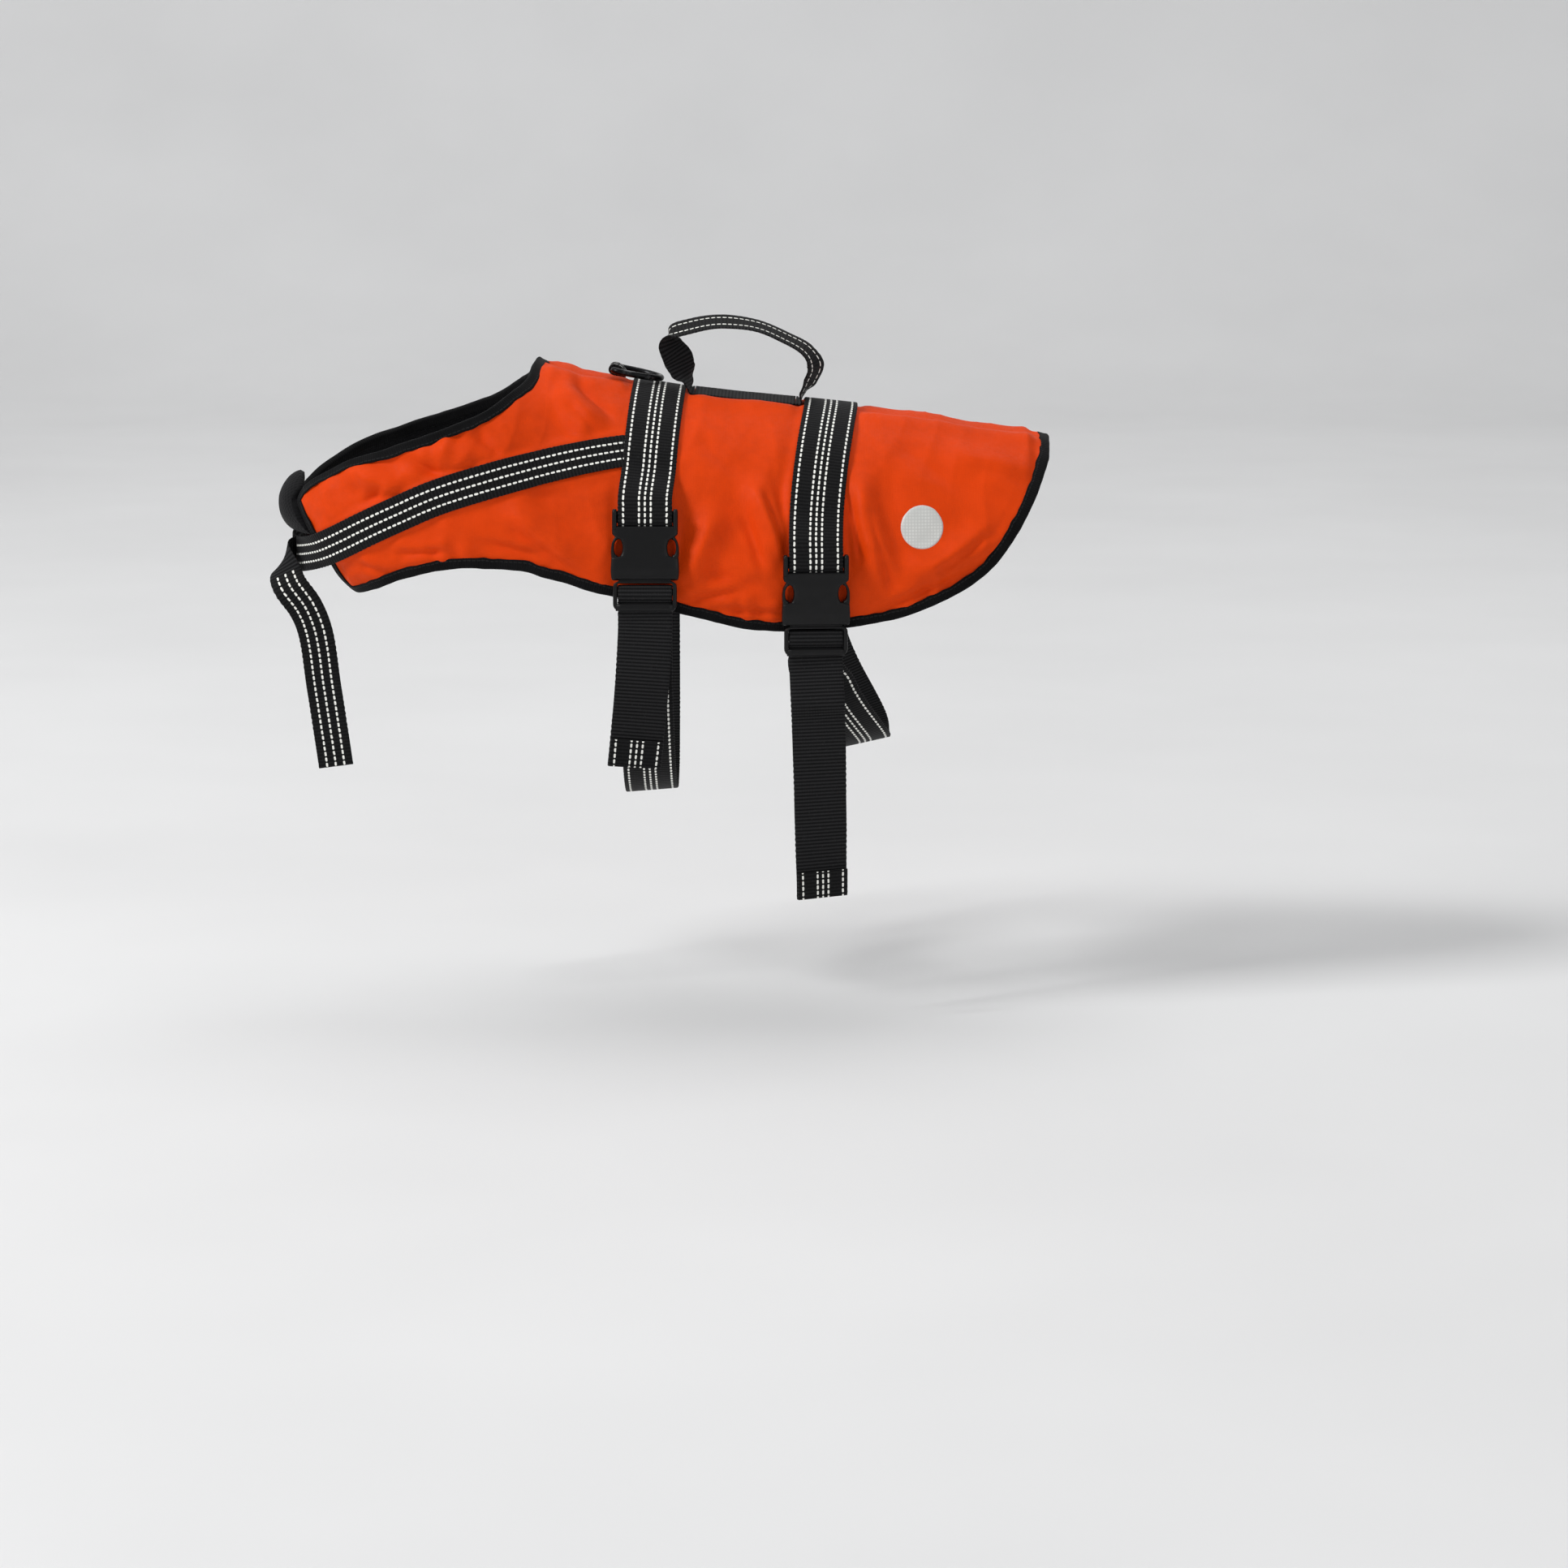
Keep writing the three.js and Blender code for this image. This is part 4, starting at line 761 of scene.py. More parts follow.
def plastic_material(colour):
    """Acetal, injection moulded in a spark-eroded mould: a fine even grain and soft highlights, glossier
    where polished by handling, and painted lighter there as a painted sheen."""
    material, shader, add = new_material("moulded_acetal", IOR=1.48, Specular_IOR_Level=0.25)
    object_at = add("TexCoord", output="Object")
    grain = add("TexNoise", blobs(object_at, 0.7, 2))
    polish_and_sheen = add("TexNoise", blobs(object_at, 16, 4))
    rub = add("MapRange", (polish_and_sheen, 0.35, 0.7))
    # Partly real polish, partly painted sheen: the polished patches are also painted lighter.
    tint = add("Mix", {0: rub, 6: rgba(colour, 0.9), 7: rgba(colour, 1.45)}, **COLOUR_MIX)
    relief = ((grain, 0.06, 0.35), (polish_and_sheen, 0.3, 0.06))
    return join(material, shader, tint, relief, add("MapRange", (polish_and_sheen, 0.3, 0.75, 0.5, 0.36)))


def ring_material(colour):
    """Steel wire, bent, welded and coated black: smooth and glossy, rubbed brighter in patches."""
    material, shader, add = new_material("black_coated_steel", Metallic=0.75)
    object_at = add("TexCoord", output="Object")
    rub = add("TexNoise", blobs(object_at, 7, 5, 0.65))
    scratch = add("TexNoise", blobs(object_at, 1.1, 2))
    bare = add("MapRange", (rub, 0.52, 0.75))
    tint = add("Mix", {0: bare, 6: rgba(colour, 1.3), 7: rgba(WORN_STEEL)}, **COLOUR_MIX)
    return join(material, shader, tint, ((scratch, 0.03, 0.3),), add("MapRange", (rub, 0.4, 0.7, 0.34, 0.2)))


def film_material(colour):
    """Reflective film, glass beads pressed into a backing: pale grey and satin, in rows of cells. The cells
    are finer in real film and are drawn at 2.2 mm."""
    material, shader, add = new_material("glass_bead_film", Roughness=0.38, Specular_IOR_Level=0.6)
    object_at = add("TexCoord", output="Object")
    walls = [wave(add, add("SeparateXYZ", (object_at,), axis), FILM_CELL) for axis in (0, 2)]
    cell = add("MapRange", (add("Math", walls, operation="MAXIMUM"), 0.6, 0.95, 1, 0))
    cloud = add("TexNoise", blobs(object_at, 12))
    tone = add("MapRange", (cloud, 0.3, 0.7))
    bead = add("Mix", {0: tone, 6: rgba(colour, 0.86), 7: rgba(colour, 1.05)}, **COLOUR_MIX)
    tint = add("Mix", {0: cell, 6: rgba(colour, 0.84), 7: bead}, **COLOUR_MIX)
    return join(material, shader, tint, ((cell, 0.08, 0.4), (cloud, 0.3, 0.2)))


def floor_material(colour):
    """Studio board, rolled with matt paint: a barely uneven tone."""
    material, shader, add = new_material("matt_studio_board", Roughness=0.9, Specular_IOR_Level=0.2)
    object_at = add("TexCoord", output="Object")
    cloud = add("MapRange", (add("TexNoise", blobs(object_at, 600)), 0.3, 0.7))
    tint = add("Mix", {0: cloud, 6: rgba(colour, 0.97), 7: rgba(colour, 1.03)}, **COLOUR_MIX)
    return join(material, shader, tint, ((add("TexNoise", blobs(object_at, 1.5, 2)), 0.05, 0.1),))


# Distances of the reflective rows from the middle of the girth, chest and handle webbing.
GIRTH_LINES = (0, 4.1, 15.2)
CHEST_LINES = (0, 6.25)
HANDLE_LINES = (6.25,)


def material(name):
    """The named finish, made the first time it is asked for."""
    scene = bpy.context.scene
    panels, webbing, hardware = scene.jacket_panels, scene.jacket_webbing, scene.jacket_hardware
    makers = {
        "coated_polyester_oxford": (shell_material, panels),
        "knitted_mesh_lining": (knit_material, "knitted_mesh_lining", panels.lining, LINING_MESH),
        "spacer_mesh": (knit_material, "spacer_mesh", panels.pad, PAD_MESH),
        "grosgrain_tape": (binding_material, panels.binding),
        "nylon_webbing": (webbing_material, "nylon_webbing", webbing, (), 0.9),
        "girth_webbing_face": (webbing_material, "girth_webbing_face", webbing, GIRTH_LINES, 0.35),
        "chest_webbing_face": (webbing_material, "chest_webbing_face", webbing, CHEST_LINES, 0.35),
        "handle_webbing_face": (webbing_material, "handle_webbing_face", webbing, HANDLE_LINES, 0.35),
        "moulded_acetal": (plastic_material, hardware.plastic),
        "black_coated_steel": (ring_material, hardware.metal),
        "glass_bead_film": (film_material, hardware.film),
        "matt_studio_board": (floor_material, scene.jacket_stage.floor),
    }
    maker, *values = makers[name]
    return bpy.data.materials.get(name) or maker(*values)


def dress(obj, slot, *nodes, body="vest"):
    """The piece rides on its body and stands for its solids, which are hidden. slot is not used."""
    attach(obj, body)
    if nodes:
        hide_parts(*nodes)
    return obj


# Panels and bindings


def flat_coordinates(points):
    """Distances along and down a grid, in mm, for the weave: down each column, and along from column to
    column at mid height."""
    down = np.concatenate((np.zeros((len(points), 1)), np.cumsum(
        np.linalg.norm(np.diff(points, axis=1), axis=2), axis=1)), axis=1)
    along = run_of(points[:, points.shape[1] // 2])
    return np.stack((np.broadcast_to(along[:, None], down.shape), down), -1)


def panel_object(name, side, sizes):
    """A side panel: orange shell outside and round its rim, mesh lining inside."""
    inner, outer = panel_surface(side, sizes)
    n, m = inner.shape[:2]
    inner_faces, outer_faces, rim = shell_parts(n, m)
    points = np.concatenate((inner.reshape(-1, 3), outer.reshape(-1, 3)))
    uv = np.concatenate((flat_coordinates(inner).reshape(-1, 2), flat_coordinates(outer).reshape(-1, 2)))
    materials = [material("coated_polyester_oxford"), material("knitted_mesh_lining")]
    return make_object(name, points, [(outer_faces, 0), (rim, 0), (inner_faces, 1)], materials, uv)


def tape_profile(depth, lap=6.2, wall=1.0, past=1.7, segments=9):
    """Closed section of edge tape round a panel edge depth mm thick: out along the outer face, round the edge
    and back along the lining, then the same path inside it. u runs past the edge and n out of the panel."""
    turn = np.linspace(np.pi / 2, -np.pi / 2, segments)
    outer_leg = np.array([(-lap, depth + 1.35), (-lap + 0.35, depth + 1.6), (-lap * 0.72, depth + 1.42),
                          (-lap * 0.45, depth + 1.12), (-lap * 0.2, depth + 0.95)])
    half = (depth + 2 * wall) / 2
    middle = depth / 2
    rim = np.stack((past * np.cos(turn), middle + half * np.sin(turn)), -1)
    inner_leg = np.array([(-lap * 0.3, -wall), (-lap * 0.7, -wall * 1.05), (-lap + 0.3, -wall * 1.1),
                          (-lap, -wall * 0.7)])
    back = np.array([(-lap, -0.2), (-lap * 0.4, -0.1)])
    core = np.stack((0.35 * np.cos(turn[::-1]), middle + (half - wall * 0.9) * np.sin(turn[::-1])), -1)
    front = np.array([(-lap * 0.5, depth + 0.3), (-lap, depth + 0.75)])
    return np.concatenate((outer_leg, rim, inner_leg, back, core, front))


def tape_object(name, base, normal, depth):
    """Edge tape along border cells: at each, past the edge is the normal crossed with the run, and the tape
    gathers slightly from stitch to stitch."""
    run_direction = unit(np.gradient(base, axis=0))
    past = unit(np.cross(normal, run_direction))
    off = unit(np.cross(run_direction, past))
    run, section = run_of(base), tape_profile(depth)
    gather = 1 + 0.05 * np.sin(run / 1.9) * np.sin(run / 13) + 0.04 * np.sin(run / 4.3 + 1)
    lift = 0.25 * np.sin(run / 6.1) * np.sin(run / 21 + 0.5)
    height = section[:, 1] + lift[:, None] * (section[:, 1] > depth)
    points = (base[:, None] + section[None, :, 0, None] * past[:, None] * gather[:, None, None]
              + height[..., None] * off[:, None])
    uv = np.stack(np.broadcast_arrays(run_of(section), run[:, None]), -1).reshape(-1, 2)
    parts = [(faces, 0) for faces in tube_parts(len(base), len(section))]
    return make_object(name, points.reshape(-1, 3), parts, [material("grosgrain_tape")], uv), run[-1]


def smooth_line(values, passes):
    """Averages each value with its neighbours, keeping both ends."""
    for _ in range(passes):
        values = np.concatenate((values[:1], (values[:-2] + 2 * values[1:-1] + values[2:]) / 4, values[-1:]))
    return values


def even(base, normal, step=1.6):
    """Resamples a border evenly, with its normals."""
    run = run_of(base)
    stops = np.linspace(0, run[-1], int(run[-1] / step) + 2)
    return at_run(stops, run, base), unit(at_run(stops, run, normal))


def borders():
    """The two taped borders: the neck from the left wing over the nape to the right, and the hem from the
    right wing round the rear to the left."""
    sides = {side: panel_base(side) for side in (-1, 1)}
    across_spine = np.array((1, 0, 1))

    def neck(side):
        base, normal = sides[side]
        return base[:NAPE_STOP + 1, 0], normal[:NAPE_STOP + 1, 0]

    def hem(side):
        return [np.concatenate((a[2:0:-1, 0], a[0, ::10], a[1:, -1], a[-1, ::-4][1:])) for a in sides[side]]

    def joined(first, second):
        middle = [a[-1:] * across_spine for a in first]
        return [np.concatenate((a[:-1], m, b[:-1][::-1])) for a, m, b in zip(first, middle, second)]

    return joined(neck(-1), neck(1)), joined(hem(1), hem(-1))


# Straps


X_AXIS, Y_AXIS, Z_AXIS = np.eye(3)
# A buckle's own frame starts at its top: where it ends, and how far it lies off the panel.
BUCKLE = {"end": -71.2, "off": 0.2}
# Where the webbing on the panel starts above a buckle, how far below the hem it stops and where it comes back
# under the adjuster.
STRAP_ENDS = {"above": 24, "past_hem": 3, "adjuster": 22, "rows": 26}


def girth_x(girth, angle):
    """A girth strap's x at an angle from the spine."""
    turn = np.abs(angle)
    to_buckle = (girth["buckle_x"] - girth["spine_x"]) * smooth(turn, 0, GIRTH_TURNS["side"])
    below = smooth(turn, GIRTH_TURNS["under"], GIRTH_TURNS["belly"])
    return girth["spine_x"] + to_buckle + (girth["belly_x"] - girth["buckle_x"]) * below


def web_rows(girth, angles, out):
    """Webbing rows (at, across) round the figure: across is the X direction laid in the surface."""
    x = girth_x(girth, angles)
    normal = outward(x, angles)
    across = unit(X_AXIS - normal * normal[:, :1])
    return list(zip(lifted(x, angles, out), across))


def girth_frame(girth, full):
    """Origin and directions (wide, up, off) of a girth buckle: up runs up the strap, off leaves the panel."""
    half = -BUCKLE["end"] / 2
    section, angle = side_view(girth["buckle_x"], girth["buckle_top"] - half)
    off = outward(section, angle)
    up = unit(np.cross(off, X_AXIS))
    wide = np.cross(up, off)
    origin = lifted(section, angle, full + BUCKLE["off"]) + up * half
    return {"origin": origin, "wide": wide, "up": up, "off": off, "scale": 1.0}


CHEST_FRAME = {
    "origin": np.array((-320.0, 41, -105.5)), "wide": np.array((0.0, 0, 1)), "up": np.array((0.0, 1, 0)),
    "off": np.array((-1.0, 0, 0)), "scale": 0.7,
}


def local(frame_of, points):
    """Buckle coordinates (wide, up, off) in mm to the garment's."""
    axes = np.stack((frame_of["wide"], frame_of["up"], frame_of["off"]))
    return frame_of["origin"] + frame_of["scale"] * (np.asarray(points, float) @ axes)


def local_rows(frame_of, spots):
    """Webbing rows at buckle heights: spots are (up, off) pairs in the middle of the buckle."""
    return [(local(frame_of, (0, up, off)), frame_of["wide"]) for up, off in spots]


# The free end's path over the adjuster's middle bar and out under its end bar, as (up, off).
OVER_BAR = (
    (-53.7, 3.3), (-53.7, 5), (-54.6, 6.1), (-56, 6.5), (-59.6, 6.5), (-61.2, 6.1), (-63.4, 4.9), (-65, 3.8),
    (-66.8, 3.6), (-71.6, 3.6),
)
UNDER_ADJUSTER = ((-79.2, -1.2), (-71.2, 0.9), (-66, 1.5), (-55, 1.5))
# How the strap comes over the buckle's top bar and dives into its slot, as (up, off).
OVER_COLLAR = ((-12.4, 1.4), (-12.6, 3.2), (-11.8, 5.2), (-9.2, 6.7), (-4.5, 6.9), (1.5, 6.1), (8, 4.2))

# The same two paths at the smaller chest buckle.
CHEST_UNDER_ADJUSTER = ((-85.2, 0.8), (-71.2, 1.6), (-55, 1.6))
CHEST_OVER_COLLAR = ((14, 2.6), (7, 4.2), (1.5, 6.1), (-4.5, 6.9), (-9.2, 6.7), (-11.8, 5.2), (-12.6, 3.2))

# Hanging ends: offsets from the adjuster and the turn of the webbing about the vertical, in degrees.
TAILS = {
    "front": ((0, 0, -10, 0), (-1.5, -3, -40, 4), (-4.5, -1, -74, 8), (-8.5, 0, -110, 14)),
    "rear": (
        (0.5, -1, -12, 0), (1.5, -6.5, -33, 0), (2, -2, -45, 4), (3.5, -1, -108, 14), (4.5, 0, -173, 22)),
}
HEM_FOLD = 20
WING_CORNER = -320


def tail_rows(frame_of, tail):
    """Rows of a hanging end: over the adjuster's bar and down."""
    rows = local_rows(frame_of, OVER_BAR)
    start = rows[-1][0]
    for x, y, z, degrees in tail:
        turn = math.radians(degrees)
        rows.append((start + np.array((x, y, z)), np.array((math.cos(turn), math.sin(turn), 0))))
    return rows


def hem_height(x):
    """Height of the hem where it passes x in side view, behind the wings' front corners."""
    rows = [row for row in OUTLINE if row[2] >= WING_CORNER]
    return float(np.interp(x, [row[2] for row in rows], [row[3] for row in rows]))


def girth_pieces(name, girth, tail):
    """One girth strap: over the back from its buckle to the far hem, on round the belly to the adjuster, and
    its hanging end with the turned-up hem."""
    scene = bpy.context.scene
    sizes, panels = scene.jacket_webbing, scene.jacket_panels
    width, thick = sizes.girth_width / MM, sizes.girth_thick / MM
    full = panels.full / MM
    frame_of = girth_frame(girth, full)
    over = full + WEB_LIFT + thick / 2
    buckle_x, buckle_top, rows = girth["buckle_x"], girth["buckle_top"], STRAP_ENDS["rows"]
    start = side_view(buckle_x, buckle_top + STRAP_ENDS["above"])[1]
    hem = -side_view(buckle_x, hem_height(buckle_x) - STRAP_ENDS["past_hem"])[1]
    finish = [material("girth_webbing_face"), material("nylon_webbing")]
    on_panel = web_rows(girth, np.linspace(start, hem, rows), over)
    top = web_path(local_rows(frame_of, OVER_COLLAR) + on_panel)
    strap = web_object(f"girth_webbing_{name}", top, width, thick, 1, finish)
    dress(strap, "webbing", f"girth_strap_{name}")

    end = 2 * math.pi + side_view(buckle_x, buckle_top + BUCKLE["end"] - STRAP_ENDS["adjuster"])[1]
    angles = np.linspace(hem, end, rows)
    wrapped = np.where(angles > math.pi, angles - 2 * math.pi, angles)
    loose = 1 - smooth(np.abs(wrapped), GIRTH_TURNS["under"], GIRTH_TURNS["snug"])
    hold = BELLY_LIFT + (over - BELLY_LIFT) * loose
    below = web_path(web_rows(girth, wrapped, hold) + local_rows(frame_of, UNDER_ADJUSTER))
    belly = web_object(f"belly_webbing_{name}", below, width, thick, 1, finish)
    dress(belly, "webbing", f"belly_strap_{name}")

    path = web_path(tail_rows(frame_of, tail), 1.2)
    hanging = web_object(f"webbing_end_{name}", path, width, thick, 1, finish, wobble=0.3)
    dress(hanging, "webbing", f"tail_{name}")
    keep = path["run"] > path["run"][-1] - HEM_FOLD
    flip = np.sign(-path["out"][keep][:, 1:2])
    fold = {key: value[keep] for key, value in path.items()}
    bulge = np.linspace(0.25, 0, keep.sum())[:, None]
    fold["at"] = fold["at"] + fold["out"] * flip * (thick + 0.15 + bulge)
    hemmed = web_object(f"webbing_hem_{name}", fold, width, thick, float(flip[0, 0]), finish)
    dress(hemmed, "webbing", f"tail_hem_{name}")


# Buckles


def superellipse(count, power=4.0):
    """A closed rounded rectangle of half size 1: |a|^power + |b|^power = 1."""
    t = np.linspace(0, 2 * np.pi, count, endpoint=False)
    c, s = np.cos(t), np.sin(t)
    return np.stack((np.sign(c) * np.abs(c) ** (2 / power), np.sign(s) * np.abs(s) ** (2 / power)), -1)


def moulding(middle, half_wide, half_thick, frame_of, count=28, power=4.0, closed=False):
    """A moulded bar: rounded rectangles of half sizes (half_wide, half_thick) carried along a path in the
    buckle's (wide, up) plane. middle is (wide, up, off) at each station. Ends are capped unless closed."""
    middle = np.asarray(middle, float)
    if closed:
        step = np.roll(middle, -1, 0) - np.roll(middle, 1, 0)
    else:
        step = np.gradient(middle, axis=0)
    run = unit(step * (1, 1, 0))
    side = np.stack((run[:, 1], -run[:, 0], np.zeros(len(run))), -1)
    section = superellipse(count, power)
    wide = np.broadcast_to(np.asarray(half_wide, float), (len(middle),))
    tall = np.broadcast_to(np.asarray(half_thick, float), (len(middle),))
    points = (middle[:, None] + section[None, :, 0, None] * (side * wide[:, None])[:, None]
              + section[None, :, 1, None] * (Z_AXIS * tall[:, None])[:, None])
    if closed:
        faces, caps = ring_faces(len(middle), count), []
    else:
        faces, caps = tube_parts(len(middle), count)
    points = local(frame_of, points.reshape(-1, 3))
    if signed_volume(points, faces) < 0:
        faces = faces[:, ::-1]
        caps = [cap[::-1] for cap in caps]
    return points, faces.tolist() + caps


def rounded_ends(stops, ends, size):
    """Scale from 0.05 to 1 that rounds both ends of a bar over size mm: a quarter circle."""
    reach = np.minimum(np.abs(stops - ends[0]), np.abs(stops - ends[1]))
    return np.sqrt(np.maximum(1 - (1 - np.minimum(reach / size, 1)) ** 2, 0.0025))


def merged(name, pieces, finish):
    """One mesh from several closed bars."""
    points, faces, start = [], [], 0
    for piece_points, piece_faces in pieces:
        points.append(piece_points)
        faces += [[corner + start for corner in face] for face in piece_faces]
        start += len(piece_points)
    return make_object(name, np.concatenate(points), [(faces, 0)], [finish])


# The socket in mm, down from the buckle's top: its body, its outline as distances down and half widths, the
# windows, the rims outside them and the posts beside the top bar.
SOCKET_SPAN = (-11.6, -49.6)
SOCKET_OUTLINE = np.array((
    (11.6, 13.5, 17, 19.4, 20.8, 34, 43, 49.6), (22.8, 23, 22.9, 20.9, 20.2, 23.4, 23.9, 23.4)))
WINDOW = {"aside": 18.6, "up": -27, "wide": 3, "long": 6.4}
RIM_SPAN = (-19.2, -36.5)
RIM_OUTLINE = np.array(((19, 21, 24, 27, 31, 37), (20.3, 21.8, 23.2, 23.7, 23.8, 23.5)))
RIM_LEAST = 1.7
POST = {"aside": 21.3, "end": -14}
# The adjuster's frame as half width, bottom, top and corner.
ADJUSTER = (20.8, -69.6, -50.9, 3.4)


def female_buckle(name, frame_of, node):
    """The socket half: a shouldered body with an oval window at each side, two posts and the top bar that the
    strap turns round. The body's half width follows its outline, cut back to the windows' inner sides."""
    at, wide, long = (WINDOW[key] for key in ("up", "wide", "long"))
    stops = np.linspace(*SOCKET_SPAN, 110)
    outline = monotone(*SOCKET_OUTLINE, -stops)
    oval = WINDOW["aside"] - wide * np.sqrt(np.clip(1 - ((stops - at) / long) ** 2, 0, 1))
    shoulder = smooth(np.abs(stops - at), long - 0.6, long + 1.4)
    core = oval * (1 - shoulder) + outline * shoulder
    ends = rounded_ends(stops, SOCKET_SPAN, 1.6)
    tall = 4.5 * (0.45 + 0.55 * ends) * (1 - 0.1 * smooth(-stops, 40, 49) - 0.06 * smooth(stops, -24, -14))
    body = np.column_stack((0 * stops, stops, 0.4 + tall))
    pieces = [moulding(body, core * (0.94 + 0.06 * ends), tall, frame_of, 56, 7.0)]
    rim = np.linspace(*RIM_SPAN, 34)
    rim_outer = monotone(*RIM_OUTLINE, -rim)
    window = WINDOW["aside"] + wide * np.sqrt(np.clip(1 - ((rim - at) / long) ** 2, 0, 1))
    rim_inner = np.minimum(window, rim_outer - RIM_LEAST)
    post = np.linspace(0, POST["end"], 16)
    round_top = 0.7 + 0.3 * rounded_ends(post, (0, -40), 3)
    for side in (-1, 1):
        rim_at = np.column_stack((side * (rim_outer + rim_inner) / 2, rim, np.full(len(rim), 4.4)))
        pieces.append(moulding(rim_at, (rim_outer - rim_inner) / 2, 3.7, frame_of, 20, 3.2))
        post_at = np.column_stack((np.full(len(post), side * POST["aside"]), post, np.full(len(post), 4.8)))
        pieces.append(moulding(post_at, 1.75 * round_top, 4.1 * round_top, frame_of, 20, 3.2))
    bar = np.column_stack((np.linspace(-20.5, 20.5, 9), np.full(9, -5.2), np.full(9, 3.4)))
    pieces.append(moulding(bar, 4.2, 2.2, frame_of, 24, 3))
    return dress(merged(name, pieces, material("moulded_acetal")), "buckle_plastic", node)


def rounded_loop(half_wide, low, high, corner, count=8):
    """A closed rounded rectangle in the buckle's plane, anticlockwise, as (wide, up)."""
    centres = ((half_wide - corner, high - corner, 0), (-half_wide + corner, high - corner, 90),
               (-half_wide + corner, low + corner, 180), (half_wide - corner, low + corner, 270))
    arcs = []
    for x, y, turn in centres:
        t = np.radians(np.linspace(turn, turn + 90, count))
        arcs.append(np.stack((x + corner * np.cos(t), y + corner * np.sin(t)), -1))
    return np.concatenate(arcs)


def male_buckle(name, frame_of, node):
    """The adjuster of the plug half: a rounded frame, the bar that the strap wraps, a slimmer bar towards the
    socket, and the plug's tongue going into it."""
    loop = rounded_loop(*ADJUSTER)
    heights = 5.6 - 0.7 * smooth(-loop[:, 1], 60, 70)
    narrow = 1.55 - 0.65 * smooth(loop[:, 1], -53, -51.5)
    ring = moulding(np.column_stack((loop, heights)), narrow, 2.5, frame_of, 20, 3.2, closed=True)
    wide = np.linspace(-20.4, 20.4, 11)
    middle_at = np.column_stack((wide, np.full(11, -57.8), np.full(11, 3.95)))
    end_at = np.column_stack((wide, np.full(11, -68.6), np.full(11, 6.1)))
    plug_at = np.column_stack((np.zeros(8), np.linspace(-44, -50.6, 8), np.full(8, 5.2)))
    middle_bar = moulding(middle_at, 2.6, 1.05, frame_of, 20, 3)
    end_bar = moulding(end_at, 2.5, 1.5, frame_of, 24, 2.6)
    plug = moulding(plug_at, 18.4, 2.2, frame_of, 36, 6)
    obj = merged(name, [ring, middle_bar, end_bar, plug], material("moulded_acetal"))
    return dress(obj, "buckle_plastic", node)


# Handle, ring, chest and disc

# The grab handle's centre line: x, z, swing of its width about the vertical, and tilt of its right edge.
HANDLE = (
    (-38.8, 17.5, 14, 0), (-42.6, 25, 48, 2), (-46.4, 33.5, 58, 8), (-51.8, 43, 38, 20), (-52.5, 51, 12, 24),
    (-38, 56.5, 0, 21), (-15, 59.8, 0, 18), (10, 57, 0, 15), (31, 48.5, 5, 14), (47, 38.5, 16, 11),
    (52.5, 28, 28, 6), (48.5, 17, 26, 2), (43.5, 9.5, 10, 0),
)
HANDLE_BASE = {"from": -34, "to": 38, "bend": 3, "lift": -0.8, "roll": math.radians(8)}
# The leash ring: half its bar, its depth, where its bar lies, its corners and its bow.
RING = {"half": 18.5, "depth": 34, "bar": -92, "corner": 5, "bow": 23}
RING_LOOP = {"width": 22, "thick": 1.4, "end": -82.8}
# The chest webbing's hanging end: x, y, z and the x and z of the direction of its width.
CHEST_TAIL = (
    (-324.5, -16, -105.8, -0.12, -1), (-329.5, -26, -109, -0.45, -0.85), (-325, -39, -124, -0.88, -0.4),
    (-313, -42.5, -141, -1, 0), (-306.5, -42, -158, -1, 0), (-301, -40, -200, -1, 0),
    (-293.5, -40, -257, -1, 0),
)
CHEST_PAD = {
    "top": -57.5, "bottom": -87, "arch": 9.75, "from_wing": 3.4, "edge": 1.2, "thick": 5, "bulge": 6.5,
    "square": 0.6, "rim": 0.08, "crinkle": 0.5, "seed": 5,
}
# How much of the chest webbing's hanging end, near the buckle, is without reflective thread.
CHEST_PLAIN = 46


def handle_rise(x, full, thick):
    """Height of the middle of the handle's webbing where it lies on the spine."""
    return trunk("back", x) + full + HANDLE_BASE["lift"] + thick / 2


def ring_frame(full, wire, girth_thick):
    """The leash ring's bar, the direction back along it and the one off it, on the spine plane."""
    def web_top(x):
        return float(trunk("back", x)) + full + WEB_LIFT

    bar = np.array((RING["bar"], 0, web_top(RING["bar"]) + RING_LOOP["thick"] + 2 * SEAM + wire / 2))
    tip_x = RING["bar"] + RING["depth"]
    tip = np.array((tip_x, 0, web_top(tip_x) + girth_thick + 2 * SEAM + wire / 2))
    back = unit(tip - bar)
    return bar, back, unit(np.cross(back, Y_AXIS))


def chest_section(y, z):
    """The section of the rounded chest that is y wide at height z, by halving."""
    narrow = np.full(np.shape(y), float(CHEST["start"] - CHEST["reach"]))
    wide = np.full(np.shape(y), float(CHEST["start"]))
    for _ in range(30):
        half = (narrow + wide) / 2
        small = figure(half, angle_at(half, z))[..., 1] < np.abs(y)
        narrow, wide = np.where(small, half, narrow), np.where(small, wide, half)
    return wide


def chest_points(y, z, out):
    """Points of the rounded chest at (y, z), moved off it by out along its normal."""
    def at(yy, zz):
        section = chest_section(yy, zz)
        return np.stack((figure(section, angle_at(section, zz))[..., 0], yy, zz), -1)

    normal = unit(np.cross(at(y + 1, z) - at(y - 1, z), at(y, z + 1) - at(y, z - 1)))
    normal = normal * np.where(normal[..., :1] < 0, 1, -1)
    return at(y, z) + normal * np.asarray(out)[..., None]


def wing_edge(edge, z):
    """Side offset of a wing's front edge at each height z."""
    spots = figure(*place(edge, np.linspace(0, WING_ROWS, 400)))
    order = np.argsort(spots[:, 2])
    return np.abs(np.interp(z, spots[order, 2], spots[order, 1]))


